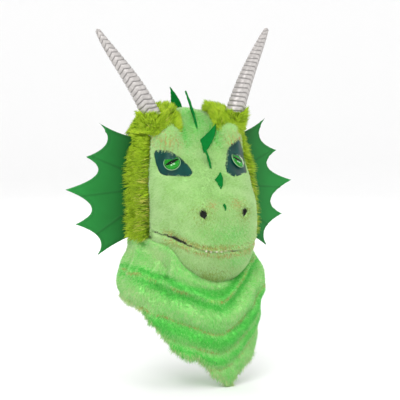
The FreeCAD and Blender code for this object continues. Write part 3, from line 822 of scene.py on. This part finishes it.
def make_horn(side, sign, material):
    node = "horn_skin_" + side
    centre_of, radius_of = horn_line(node)
    rows = HORN_RINGS * HORN_STEPS
    tilt = np.random.default_rng(70 + sign).normal(size=HORN_RINGS + 2) * 0.12
    points = []
    groove_shade = []
    for row in range(rows + 1):
        share = row / rows
        centre = centre_of(share)
        ahead = unit(centre_of(min(share + 0.01, 1)) - centre_of(max(share - 0.01, 0)))
        front = np.array([0.35 * sign, -1.0, 0.0])
        front = unit(front - ahead * (front @ ahead))
        across = np.cross(ahead, front)
        for k in range(HORN_AROUND):
            turn = 2 * math.pi * k / HORN_AROUND
            facing = math.cos(turn)
            chevron = 0.6 * abs(math.sin(turn)) + tilt[int(share * HORN_RINGS)] * math.sin(turn)
            phase = (share * HORN_RINGS + chevron) % 1
            radius = radius_of(share) * ring_profile(phase, facing)
            points.append(centre + (front * facing + across * math.sin(turn)) * radius)
            # Painted shade: the silver darkens in the groove under each ring's lip.
            groove_shade.append(1 - 0.62 * math.exp(-(min(phase, 1 - phase) / 0.11) ** 2))
    tip = len(points)
    points.append(centre_of(1.0) + unit(centre_of(1.0) - centre_of(0.98)) * radius_of(1.0) * 0.8)
    points.append(centre_of(0.0))
    ob = face_piece("horn_" + side, points, horn_faces(rows, tip))
    paint(ob, np.repeat(np.array(groove_shade + [1, 1])[:, None], 3, axis=1))
    dress(ob, "head", material, [node, "horn_core_" + side])


def horn_faces(rows, tip):
    """Rings of faces up the horn, closed to a point at its tip and across its foot."""
    faces = []
    for row in range(rows):
        for k in range(HORN_AROUND):
            after = (k + 1) % HORN_AROUND
            low, high = row * HORN_AROUND, (row + 1) * HORN_AROUND
            faces.append((low + k, low + after, high + after, high + k))
    for k in range(HORN_AROUND):
        after = (k + 1) % HORN_AROUND
        faces.append((rows * HORN_AROUND + k, rows * HORN_AROUND + after, tip))
        faces.append((after, k, tip + 1))
    return faces


def make_horns():
    silver = mottled("silver_paint", shade(146, 142, 140), shade(210, 205, 202), 0.42, scale=160,
                     painted=True, metallic=0.5, grain=0.4, grain_scale=1500)
    for side, sign in SIDES:
        make_horn(side, sign, silver)


# ---------------------------------------------------------------- fins

FIN_RIBS = 3


def make_fins():
    satin = mottled("satin_cloth", shade(205, 225, 205), WHITE, 0.5, scale=30, painted=True, shine=0.2,
                    grain=0.3, grain_scale=2600, depth=0.0003)
    for side, _ in SIDES:
        fin = soft_copy("fin_" + side, ["fin_cover_" + side, "fin_core_" + side], 0.0017, 3)
        points = points_of(fin)
        normals = normals_of(fin)
        outward = np.abs(points[:, 0])
        share = np.clip((outward - HEAD_HALF) / (FIN_HIGH.x - HEAD_HALF), 0, 1)
        hub = np.array([HEAD_HALF * 0.55, (FIN_LOW.z + FIN_HIGH.z) / 2 + 0.004])
        angle = np.arctan2(points[:, 2] - hub[1], outward - hub[0])
        spokes = np.linspace(-0.62, 0.42, FIN_RIBS)
        ribs = sum(np.exp(-((angle - a) * (outward - hub[0]) / 0.0016) ** 2) for a in spokes)
        hem = hem_line(points, normals)
        flat = np.abs(normals[:, 1]) > 0.7
        points += normals * ((0.0007 * ribs - 0.0006 * band(hem, 0.004, 0.0012)) * flat)[:, None]
        points[:, 1] += (0.004 * np.sin((points[:, 2] - FIN_LOW.z) * 30) + 0.003) * share ** 1.5
        set_points(fin, points)
        root = np.exp(-((outward - HEAD_HALF) / 0.03) ** 2)
        tone = 1.0 - 0.35 * root - 0.28 * ribs * flat - 0.18 * band(hem, 0.004, 0.0014) * flat + 0.25 * share
        paint(fin, between(shade(10, 96, 34), shade(36, 132, 58), share[:, None]) * tone[:, None])
        dress(fin, "head", satin, ["fin_cover_" + side, "fin_core_" + side])


def hem_line(points, normals):
    """Distance from each point to the panel's cut edge."""
    edge = np.nonzero(np.abs(normals[:, 1]) < 0.5)[0]
    tree = KDTree(len(edge))
    for k, index in enumerate(edge):
        tree.insert(points[index], k)
    tree.balance()
    return np.array([tree.find(p)[2] for p in points])


# ---------------------------------------------------------------- spines

# How far some leaves are turned, in radians, so that more of their side shows.
SPINE_TURNS = {"spine_1": 0.9, "spine_5": 0.35, "spine_6": 0.55}


def make_spines():
    felt = mottled("green_felt", shade(4, 96, 34), shade(8, 128, 50), 0.95, scale=260, shine=0.1,
                   grain=0.9, grain_scale=2400)
    for node in sorted(n for n in frame["nodes"] if n.startswith("spine_")):
        leaf = soft_copy(node + "_felt", [node], 0.0009, 2)
        points = points_of(leaf)
        low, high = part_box(node)
        height = np.clip((points[:, 2] - low.z) / (high.z - low.z), 0, 1)
        points = turned(points, (low + high) / 2, SPINE_TURNS.get(node, 0.0))
        points[:, 0] += 0.0025 * np.sin(height * 3) + 0.0004 * waves(points, 0.009, 80)
        set_points(leaf, points)
        dress(leaf, "head", felt, [node])


def turned(points, centre, angle):
    """Points turned about the vertical through a centre."""
    away = points - np.array(centre)
    c, s = math.cos(angle), math.sin(angle)
    return np.array(centre) + away @ np.array([[c, s, 0], [-s, c, 0], [0, 0, 1]])


# ---------------------------------------------------------------- eyes and nostrils

def turn_index(a, b, bins):
    """Which of a number of even turns round the eye each place lies in."""
    return (np.arctan2(b, a) / (2 * math.pi) * bins).round().astype(int) % bins


def polar(rings, bins):
    """The share of the radius and the turn of each point of a round plate, ring by ring."""
    for ring in range(rings + 1):
        for k in range(bins):
            yield ring / rings, k, 2 * math.pi * k / bins


class EyeFrame:
    """Centre and directions of one eye, taken from its iris."""

    def __init__(self, side, sign):
        self.centre = middle("eye_iris_" + side)
        self.out = thin_direction("eye_iris_" + side, (0, -1, 0))
        across = np.cross([0, 0, 1], self.out)
        self.away = unit(across) * (1 if across[0] * sign > 0 else -1)
        self.up = np.cross(self.out, self.away)
        self.up *= 1 if self.up[2] > 0 else -1
        self.radius = self.reach("eye_iris_" + side).max()
        self.panel = self.reach("eye_surround_" + side)
        turns = np.arange(len(self.panel)) * 2 * math.pi / len(self.panel)
        upward = np.clip(np.sin(turns), 0, 1)
        toward_nose = np.clip(-np.cos(turns), 0, 1)
        if side == "left":
            self.panel *= 1.06 + 0.26 * upward ** 3 + 0.12 * toward_nose
        else:
            outer_corner = np.exp(-((turns - 0.62) / 0.22) ** 2)
            away_from_nose = np.clip(np.cos(turns), 0, 1)
            self.panel *= 1.0 - 0.24 * upward ** 2 - 0.16 * away_from_nose ** 2 + 0.20 * outer_corner

    def reach(self, node, bins=48):
        """The farthest radius of a node in each direction round the eye."""
        points = points_of(frame["nodes"][node]) - self.centre
        a, b = points @ self.away, points @ self.up
        far = np.zeros(bins)
        np.maximum.at(far, turn_index(a, b, bins), np.hypot(a, b))
        known = np.nonzero(far)[0]
        return np.interp(np.arange(bins), known, far[known], period=bins)

    def place(self, a, b, height):
        return self.centre + self.away * a + self.up * b + self.out * height


PANEL_RINGS = 14
PANEL_THICKNESS = 0.002
PROUD = 0.0020               # how far the panel stands above the plush, and how much less at its rim
LESS_AT_RIM = 0.0008


def make_eye_panel(eye, side, face_tree, material):
    """The glossy panel round the eye, laid on the sculpted plush."""
    rings = PANEL_RINGS
    bins = len(eye.panel)
    flat = []
    heights = []
    for share, k, turn in polar(rings, bins):
        a, b = math.cos(turn) * eye.panel[k] * share, math.sin(turn) * eye.panel[k] * share
        spot = face_tree.ray_cast(Vector(eye.place(a, b, 0.03)), Vector(-eye.out))[0]
        flat.append((a, b))
        heights.append(-0.004 if spot is None else (np.array(spot) - eye.centre) @ eye.out)
    skin = np.array(heights).reshape(rings + 1, bins)
    heights = skin
    for _ in range(6):
        heights = (heights + np.roll(heights, 1, 1) + np.roll(heights, -1, 1)) / 3
    heights = np.maximum(heights, skin)
    heights[:4] = np.minimum(heights[:4], heights[4].mean())
    rim = (np.arange(rings + 1) / rings) ** 6
    heights = heights + PROUD - LESS_AT_RIM * rim[:, None]
    front = [eye.place(a, b, h) for (a, b), h in zip(flat, heights.ravel())]
    back = [p - eye.out * PANEL_THICKNESS for p in front]
    ob = face_piece("eye_panel_" + side, front + back, disc_faces(rings, bins))
    weld_and_orient(ob)
    dress(ob, "head", material, ["eye_surround_" + side])


def disc_faces(rings, bins):
    """Faces of a round plate whose points run ring by ring outwards, first in front and then behind."""
    faces = []
    behind = (rings + 1) * bins
    outer = rings * bins
    for k in range(bins):
        after = (k + 1) % bins
        for ring in range(rings):
            quad = (ring * bins + k, ring * bins + after, (ring + 1) * bins + after, (ring + 1) * bins + k)
            faces.append(quad)
            faces.append(tuple(behind + v for v in reversed(quad)))
        faces.append((outer + k, outer + after, behind + outer + after, behind + outer + k))
    return faces


def weld_and_orient(ob):
    work = bmesh.new()
    work.from_mesh(ob.data)
    bmesh.ops.remove_doubles(work, verts=work.verts, dist=1e-6)
    bmesh.ops.recalc_face_normals(work, faces=work.faces)
    work.to_mesh(ob.data)
    work.free()


IRIS_THICKNESS = 0.0010
PUPIL_SLANT = math.radians(-30)
PUPIL_HALF = 0.0034
# The glints are painted highlights.
GLINTS = (0.0018, -0.0030)   # where the two pale dots lie along the pupil
GLINT_RADIUS = 0.0016


def iris_color(eye, a, b, share, turn, fibre):
    """The colour of the iris at a place: slit pupil, two glints, a pale rim, a dark ring or green fibres."""
    along = a * math.cos(PUPIL_SLANT) + b * math.sin(PUPIL_SLANT)
    offset = -a * math.sin(PUPIL_SLANT) + b * math.cos(PUPIL_SLANT) - 0.001
    if abs(offset) < PUPIL_HALF * max(1 - (along / (eye.radius * 0.95)) ** 2, 0):
        return shade(2, 6, 4)
    # painted highlights
    if min(math.hypot(along + g, offset + 0.0052) for g in GLINTS) < GLINT_RADIUS:
        return shade(196, 216, 200)
    if share > 0.93:
        return shade(168, 214, 160)
    if share > 0.87:
        return shade(14, 60, 30)
    tone = 0.6 + 0.5 * fibre * share + 0.25 * math.sin(turn * 21 + share * 9)
    return tuple(between(shade(40, 190, 36), shade(10, 128, 40), share * 0.55) * tone)


def make_iris(eye, side, material):
    """A domed iris with fibres, a slanting slit pupil and a pale rim."""
    bins, rings = 96, 40
    points = []
    colors = []
    fibres = np.random.default_rng(90).random(bins)
    for share, k, turn in polar(rings, bins):
        a, b = math.cos(turn) * share * eye.radius, math.sin(turn) * share * eye.radius
        points.append(eye.place(a, b, 0.0010 * (1 - share ** 2) - 0.0002))
        colors.append(iris_color(eye, a, b, share, turn, fibres[k]))
    colors += [shade(10, 40, 20)] * len(points)
    points += [p - eye.out * IRIS_THICKNESS for p in points]
    ob = face_piece("iris_" + side, points, disc_faces(rings, bins))
    paint(ob, np.array(colors))
    weld_and_orient(ob)
    dress(ob, "head", material, ["eye_iris_" + side])


def make_eyes(face):
    gloss = mottled("eye_panel_gloss", shade(0, 14, 16), shade(0, 82, 72), 0.28, scale=50, shine=0.18,
                    grain=0.12, grain_scale=300)
    iris = mottled("iris_film", shade(220, 235, 220), WHITE, 0.35, scale=400, painted=True, shine=0.15,
                   grain=0.1, grain_scale=900)
    face_tree = surface(face)
    for side, sign in SIDES:
        eye = EyeFrame(side, sign)
        make_eye_panel(eye, side, face_tree, gloss)
        make_iris(eye, side, iris)
        make_nostril(side, sign, face_tree)


def make_nostril(side, sign, face_tree):
    """A dark dish that lies in the dent of the plush."""
    bins, rings = 32, 8
    centre = middle("nostril_" + side)
    low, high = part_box("nostril_" + side)
    half_x = (high.x - low.x) / 2 * 1.05
    half_z = (high.z - low.z) / 2 * 1.15
    points = []
    for share, _, turn in polar(rings, bins):
        ragged = 1 + 0.12 * math.sin(3 * turn + sign) + 0.06 * math.sin(7 * turn)
        lean = math.sin(turn) * 0.35 * sign
        x = centre[0] + (math.cos(turn) + lean) * half_x * share * ragged
        z = centre[2] + math.sin(turn) * half_z * share * ragged
        spot = face_tree.ray_cast(Vector((x, NOSE_Y - 0.05, z)), Vector((0, 1, 0)))[0]
        points.append(np.array([x, spot.y - 0.0004, z]))
    points += [p + [0, 0.0012, 0] for p in points]
    ob = face_piece("nostril_pit_" + side, points, disc_faces(rings, bins))
    weld_and_orient(ob)
    dress(ob, "head", black_cloth(), ["nostril_" + side])


def black_cloth():
    found = bpy.data.materials.get("black_lining")
    return found or woven("black_lining", shade(10, 10, 10), shade(26, 24, 24), 0.0008, 0.95)


# ---------------------------------------------------------------- mouth

def make_mouth():
    ivory = mottled("tooth_ivory", shade(214, 206, 180), shade(244, 240, 226), 0.4, scale=220, coat=0.2,
                    grain=0.2, grain_scale=900)
    for node, body, tuck in (("upper_teeth", "head", 0.0058), ("lower_teeth", "jaw", -0.0045)):
        teeth = soft_copy(node + "_worn", [node], 0.0008, 2)
        points = points_of(teeth)
        shown = np.clip(1.2 - np.abs(points[:, 0] + 0.018) / 0.026, 0, 1)
        shown *= 0.85 + 0.3 * waves(points, 0.016, 96)
        hidden = 1 - np.clip(shown, 0, 1)
        points[:, 2] += lip_lift(points) + tuck * hidden - 0.0012 * (1 - hidden)
        points[:, 0] *= 1 - 0.035 * hidden
        points[:, 1] += 0.0035 * hidden - 0.0018 * (1 - hidden)
        set_points(teeth, points)
        dress(teeth, body, ivory, [node])
    for node, body in (("upper_lining", "head"), ("lower_lining", "jaw")):
        lining = soft_copy(node + "_cloth", [node], 0.0011, 3)
        points = points_of(lining)
        points[:, 2] += lip_lift(points) * 0.8
        points += unit(points * [1, 1, 0]) * (0.0008 * waves(points, 0.03, 95))[:, None]
        set_points(lining, points)
        dress(lining, body, black_cloth(), [node])


# ---------------------------------------------------------------- neck cloth

NECK_COLUMNS = 240
NECK_ROWS = 64
NECK_CLOTH = 0.003
# painted shade for the throat, on the cloth's inner side at the back
THROAT_SHADE_BLACK = shade(22, 24, 22)
SMOOTH_START = 12            # how many steps below the collar's top the cloth from the lip meets it
STEP = 0.002                 # height between the levels where the collar and bib are measured
# Folds across the front: the fold level, the half width and how far the cloth stands out.
FOLDS = ((0.278, 0.006, -0.004), (0.289, 0.006, 0.005), (0.306, 0.008, -0.003), (0.325, 0.012, 0.005),
         (0.350, 0.007, -0.004), (0.366, 0.010, 0.003), (0.384, 0.006, -0.003), (0.398, 0.008, 0.003),
         (0.411, 0.005, -0.002))
# Upright folds: the angle round the neck, the half width and how far the cloth stands out.
UPRIGHT_FOLDS = ((-1.62, 0.055, -0.006), (-1.48, 0.05, 0.004), (1.55, 0.06, -0.005), (2.3, 0.1, -0.004),
                 (-2.3, 0.1, -0.004), (3.05, 0.1, -0.004))


def cast_in(tree, angle, z):
    """Distance from the neck's axis to the outside of a form in one direction, or None."""
    way = Vector((math.sin(angle), -math.cos(angle), 0))
    start = Vector((0, NECK_Y, z)) + way * FAR
    spot, _, _, distance = tree.ray_cast(start, -way)
    return None if spot is None or distance > FAR else FAR - distance


BEHIND = HOOD_LOW.z + 0.006
# The cloth's top edge: degrees round the neck, 0 in front, against height. It dips under the chin.
TOP_LINE = ((-180, BEHIND), (-100, MANE_LOW.z + 0.004), (-84, MANE_LOW.z - 0.001), (-50, MANE_LOW.z - 0.004),
            (-40, MANE_LOW.z - 0.016), (-32, JAW_LOW.z + 0.038), (-16, JAW_LOW.z + 0.016),
            (0, JAW_LOW.z + 0.008), (23, JAW_LOW.z + 0.011), (41, JAW_LOW.z + 0.025), (58, JAW_LOW.z + 0.046),
            (74, JAW_LOW.z + 0.068), (84, MANE_LOW.z), (100, MANE_LOW.z + 0.004), (180, BEHIND))


def neck_profile(angle, cloth_tree, jaw_tree, head_tree):
    """One column of the cloth from the jaw or hood to the hem, as distances from the axis and heights."""
    degrees = math.degrees(angle)
    on_jaw = abs(degrees) < 84
    top = np.interp(degrees, *zip(*TOP_LINE))
    start = cast_in(jaw_tree if on_jaw else head_tree, angle, top)
    start = start if start is not None else 0.09
    levels = np.arange(MANE_LOW.z - STEP, BIB_LOW.z - STEP / 2, -STEP)
    reach = [(z, cast_in(cloth_tree, angle, z)) for z in levels]
    reach = [(r, z) for z, r in reach if r is not None]
    below = [(r, z) for r, z in reach if z < reach[0][1] - 0.012]
    skipped = int(np.interp(degrees, [-100, -88, -40, -8], [2, SMOOTH_START, SMOOTH_START, 2]))
    return np.array([(start - 0.003, top), (start + 0.003, top - 0.004)] + below[skipped:])


def lay_over_jaw(columns, angles, jaw_tree):
    """Keeps the cloth on the dragon's right outside the jaw that it lies over."""
    for column, angle in zip(columns, angles):
        if not -1.54 < angle < -0.14:
            continue
        for place in column[1:]:
            reach = cast_in(jaw_tree, angle, place[1]) if place[1] > JAW_LOW.z else None
            if reach is not None:
                place[0] = max(place[0], reach + 0.004)


def resampled(line, rows):
    steps = np.concatenate([[0], np.cumsum(np.linalg.norm(np.diff(line, axis=0), axis=1))])
    even = np.linspace(0, steps[-1], rows)
    out = np.stack([np.interp(even, steps, line[:, k]) for k in range(2)], 1)
    for _ in range(4):
        out[1:-1] = (out[:-2] + 2 * out[1:-1] + out[2:]) / 4
    return out


def make_neck():
    cloth_tree = surface(frame["nodes"]["neck_collar"], frame["nodes"]["bib"])
    jaw_tree = surface(frame["nodes"]["jaw_cover"])
    head_tree = surface(*(frame["nodes"][n] for n in ("hood_cover", "mane_left", "mane_right", "face_cover")))
    angles = np.linspace(-math.pi, math.pi, NECK_COLUMNS, endpoint=False)
    columns = np.array([resampled(neck_profile(angle, cloth_tree, jaw_tree, head_tree), NECK_ROWS)
                        for angle in angles])
    for _ in range(3):
        columns = (np.roll(columns, 1, 0) + 2 * columns + np.roll(columns, -1, 0)) / 4
    lay_over_jaw(columns, angles, jaw_tree)
    way = np.stack([np.sin(angles), -np.cos(angles)], 1)
    outer = np.empty((NECK_COLUMNS, NECK_ROWS, 3))
    outer[:, :, :2] = way[:, None, :] * columns[:, :, :1] + [0, NECK_Y]
    outer[:, :, 2] = columns[:, :, 1]
    outer = drape(outer, way)
    points = np.concatenate([outer.reshape(-1, 3), thinner(outer, way).reshape(-1, 3)])
    ob = face_piece("neck_plush", points, tube_faces(NECK_COLUMNS, NECK_ROWS))
    weld_and_orient(ob)
    paint_by_index(ob, neck_shades)
    blacken_inside(ob)
    finish_neck(ob, angles, outer[:, -1, 2])


def blacken_inside(neck):
    """Paints the cloth's inner side black at the back, where an open mouth shows it: painted shade for the
    throat.
    """
    points = points_of(neck)
    inward = (normals_of(neck) * unit(points * [1, 1, 0] - [0, NECK_Y, 0])).sum(1) < -0.3
    for place in np.flatnonzero(inward & (points[:, 1] > 0)):
        neck.data.color_attributes["paint"].data[place].color = (*THROAT_SHADE_BLACK, 1)


def drape(outer, way):
    """Folds under the chin and down the bib, an upright fold at each side, and a hem that isn't straight."""
    flat = outer.reshape(-1, 3)
    level = fold_level(flat)
    front = np.clip((-flat[:, 1] - 0.02) / 0.05, 0, 1)
    push_out = sum(height * band(level, at, width) for at, width, height in FOLDS) * front
    push_out *= np.clip((0.118 - np.abs(flat[:, 0])) / 0.03, 0.2, 1)
    angle = np.arctan2(flat[:, 0], -(flat[:, 1] - NECK_Y))
    high = np.clip((flat[:, 2] - COLLAR_LOW.z - 0.03) / 0.03, 0, 1)
    for at, width, depth in UPRIGHT_FOLDS:
        push_out += depth * band(angle, at, width) * high
    push_out += 0.0018 * waves(flat, 0.06, 61)
    on_jaw = (np.abs(angle) < 1.4) & (flat[:, 2] > JAW_LOW.z + 0.02)
    push_out = np.where(on_jaw, np.maximum(push_out, 0), push_out)
    row = np.tile(np.arange(NECK_ROWS) / (NECK_ROWS - 1), NECK_COLUMNS)
    push_out *= np.clip(row / 0.12, 0, 1)
    flat[:, :2] += np.repeat(way, NECK_ROWS, 0) * push_out[:, None]
    flat[:, 2] += 0.004 * waves(flat, 0.03, 62) * np.clip((row - 0.8) / 0.2, 0, 1)
    return flat.reshape(outer.shape)


def thinner(outer, way):
    inner = outer.copy()
    inner[:, :, :2] -= way[:, None, :] * NECK_CLOTH
    return inner


def tube_faces(columns, rows):
    """Faces of a closed-round cloth with an outer and an inner side, joined along its top and its hem."""
    faces = []
    inside = columns * rows
    for column in range(columns):
        after = (column + 1) % columns
        for row in range(rows - 1):
            quad = (column * rows + row, column * rows + row + 1, after * rows + row + 1, after * rows + row)
            faces.append(quad)
            faces.append(tuple(inside + v for v in reversed(quad)))
        for row in (0, rows - 1):
            faces.append((column * rows + row, after * rows + row, inside + after * rows + row,
                          inside + column * rows + row))
    return faces


def finish_neck(neck, angles, hem_heights):
    """Nap and a furry hem for the neck cloth, which gets its material."""

    def hanging(roots):
        return np.tile([0.0, 0.0, -1.0], (len(roots), 1))

    def outside(centres, normals):
        return (normals * unit(centres * [1, 1, 0] - [0, NECK_Y, 0])).sum(1) > -0.2

    hairs = plush_nap("neck_nap", neck, HAIRS["neck"], 71, outside, hanging, neck_shades, None,
                      pieces=2, length=NECK_NAP_LENGTH)
    hairs.append(make_hem_fur(neck, angles, hem_heights))
    dress(neck, None, PLUSH_SKIN, ["neck_collar", "bib"])
    for piece in [neck] + hairs:
        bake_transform(piece)


def make_hem_fur(neck, angles, hem_heights):
    """Longer pale hair along the cut edge."""
    def near_hem(centres, _):
        angle = np.arctan2(centres[:, 0], NECK_Y - centres[:, 1])
        return centres[:, 2] < np.interp(angle, angles, hem_heights, period=2 * math.pi) + 0.007

    roots, normals, rng = scatter(neck, HAIRS["hem"], 77, near_hem)
    ways = clumped(roots, normals * 0.35 + [0, 0, -1.0], 0.2, 0.006) + rng.normal(size=roots.shape) * 0.22
    shades = np.where(rng.random(len(roots)) < 0.5, HEM, neck_shades(roots, rng))
    hair = nap("hem_fur", roots, ways, rng.uniform(0.006, 0.014, len(roots)),
               rng.uniform(0.0009, 0.0014, len(roots)), shades, PLUSH)
    return dress(hair, None)


# ---------------------------------------------------------------- pads, straps and hard parts

NARROWEST_FLAT = 0.0101


def make_soft_parts():
    foam = mottled("pad_foam", shade(52, 52, 54), shade(84, 84, 86), 0.95, scale=300, grain=1.0,
                   grain_scale=1500)
    for node, body in (("crown_pad", "head"), ("brow_pad", "head"), ("chin_pad", "jaw")):
        pad = soft_copy(node + "_cushion", [node], 0.002, 12)
        dress(pad, body, foam, [node])
    webbing = woven("black_webbing", shade(14, 14, 15), shade(34, 34, 36), 0.0012, 0.85)
    for node, body, across in (("head_strap_left", "head", "z"), ("head_strap_right", "head", "z"),
                               ("chin_strap", "jaw", "y"), ("strap_anchor_left", "head", "z"),
                               ("strap_anchor_right", "head", "z")):
        strap = soft_copy(node + "_webbing", [node], 0.0009, 2)
        dress(strap, body, webbing, [node])
        low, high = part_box(node)
        getattr(high - low, across)
    elastic = woven("white_elastic", shade(206, 206, 200), shade(236, 236, 230), 0.0009, 0.8)
    for side, _ in SIDES:
        node = "jaw_elastic_" + side
        low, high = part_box(node)
        strip = soft_copy(node + "_knit", [node], 0.0007, 1)
        dress(strip, None, elastic, [node])
        across = max(high.y - low.y, NARROWEST_FLAT)
        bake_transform(strip)


# Slot, name, two shades, roughness, scale of the mottling, metallic, grain and the grain's scale.
HARD_LOOKS = (
    ("shell_plastic", "moulded_shell", (196, 196, 186), (214, 214, 205), 0.55, 25, 0.0, 0.35, 700),
    ("flange_plastic", "flange_black", (24, 24, 25), (44, 44, 46), 0.5, 60, 0.0, 0.4, 900),
    ("slider_plastic", "slider_black", (18, 18, 19), (34, 34, 36), 0.4, 60, 0.0, 0.3, 900),
    ("rivet_steel", "satin_steel", (150, 150, 154), (186, 186, 190), 0.32, 120, 1.0, 0.15, 2000),
    ("washer_nylon", "white_nylon", (212, 212, 204), (232, 232, 226), 0.5, 80, 0.0, 0.2, 900),
)


def finish_cad_nodes():
    """Every hard node that stays visible gets its own surface."""
    looks = {"dome_clear": clear_dome()}
    for slot, name, low, high, roughness, scale, metallic, grain, grain_scale in HARD_LOOKS:
        looks[slot] = mottled(name, shade(*low), shade(*high), roughness, scale=scale, metallic=metallic,
                              grain=grain, grain_scale=grain_scale)
    darken_by_mouth(looks["shell_plastic"])
    slots = {part["node"]: part["material_slot"] for part in frame["record"]["subparts"]}
    for node, ob in frame["nodes"].items():
        if not ob.hide_render and slots[node] in looks:
            ob.data.materials.clear()
            ob.data.materials.append(looks[slots[node]])


def darken_by_mouth(material):
    """Paints the moulding black where it can show between the lips: partly the black of the lining behind,
    partly painted shade inside the mouth.
    """
    links = material.node_tree.links
    base = shader_of(material).inputs["Base Color"]
    place = added(material, "TexCoord")
    parts = added(material, "SeparateXYZ")
    links.new(place.outputs["Object"], parts.inputs["Vector"])
    away = parts.outputs["Z"]
    for operation, value in (("SUBTRACT", LIP_Z + 0.012), ("ABSOLUTE", 0.0), ("LESS_THAN", 0.026)):
        step = added(material, "Math", ((1, value),), operation=operation)
        links.new(away, step.inputs[0])
        away = step.outputs[0]
    mix = added(material, "Mix", ((7, (*shade(12, 12, 11), 1)),), data_type="RGBA")
    links.new(away, mix.inputs["Factor"])
    links.new(base.links[0].from_socket, mix.inputs[6])
    links.new(mix.outputs[2], base)


def clear_dome():
    material = plain("clear_dome", (0.96, 0.99, 0.96), 0.02, shine=0.3, grain=0.02, grain_scale=120)
    shader_of(material).inputs["Transmission Weight"].default_value = 1.0
    shader_of(material).inputs["IOR"].default_value = 1.1
    return material


# ---------------------------------------------------------------- stage, light and camera

AZIMUTH = math.radians(-25)
ELEVATION = math.radians(6)
DISTANCE = 3.2
FIELD = 0.70                 # width of the view at the object
VIEW_RIGHT = 0.021           # where the middle of the view lies, across and up from the origin
VIEW_UP = -0.133
ACROSS = Vector((math.cos(AZIMUTH), math.sin(AZIMUTH), 0))
# Each lamp: its name, place, size and power.
LAMPS = (("key", (-1.6, -2.0, 1.6), 1.5, 42), ("fill", (1.9, -1.6, 0.5), 1.8, 10),
         ("rim", (0.6, 2.0, 1.4), 1.2, 18))
LIT_PLACE = Vector((0, 0, -0.15))


def make_stage():
    """A pale floor that rises behind the object in one sweep."""
    floor = cad_box[0].z - 0.004
    width, turn_at, radius, height = 12.0, 3.0, 1.5, 6.0
    profile = [(-6.0, 0.0), (turn_at, 0.0)]
    profile += [(turn_at + radius * math.sin(a), radius - radius * math.cos(a))
                for a in np.linspace(0.1, math.pi / 2, 14)]
    profile.append((turn_at + radius, height))
    back = Vector((-math.sin(AZIMUTH), math.cos(AZIMUTH), 0))
    points = []
    for y, z in profile:
        for x in (-width / 2, width / 2):
            points.append(ACROSS * x + back * y + Vector((0, 0, floor + z)))
    faces = [(2 * k, 2 * k + 1, 2 * k + 3, 2 * k + 2) for k in range(len(profile) - 1)]
    sweep = face_piece("backdrop", points, faces)
    sweep.data.materials.append(plain("backdrop_paper", (0.9, 0.9, 0.9), 0.9, grain=0.05, grain_scale=40))


def make_lights():
    world = bpy.data.worlds.new("studio")
    bpy.context.scene.world = world
    world.use_nodes = True
    world.node_tree.nodes["Background"].inputs["Color"].default_value = (1, 1, 1, 1)
    world.node_tree.nodes["Background"].inputs["Strength"].default_value = 1.0
    for name, place, size, power in LAMPS:
        lamp = bpy.data.lights.new(name, "AREA")
        lamp.size = size
        lamp.energy = power
        ob = bpy.data.objects.new(name, lamp)
        bpy.context.scene.collection.objects.link(ob)
        ob.location = place
        ob.rotation_euler = (LIT_PLACE - Vector(place)).to_track_quat("-Z", "Y").to_euler()


def make_camera():
    level = math.cos(ELEVATION)
    back = Vector((math.sin(AZIMUTH) * level, -math.cos(AZIMUTH) * level, math.sin(ELEVATION)))
    target = ACROSS * VIEW_RIGHT + back.cross(ACROSS) * VIEW_UP
    camera = bpy.data.objects.new("camera", bpy.data.cameras.new("camera"))
    bpy.context.scene.collection.objects.link(camera)
    camera.location = target + back * DISTANCE
    camera.rotation_euler = (-back).to_track_quat("-Z", "Y").to_euler()
    camera.data.lens = camera.data.sensor_width * DISTANCE / FIELD
    bpy.context.scene.camera = camera


def main():
    bpy.context.scene.view_settings.view_transform = "Standard"
    make_stage()
    make_lights()
    make_camera()
    face = make_head_plush()
    make_lime_fur(face)
    make_horns()
    make_fins()
    make_spines()
    make_eyes(face)
    make_mouth()
    make_neck()
    make_soft_parts()
    finish_cad_nodes()


main()
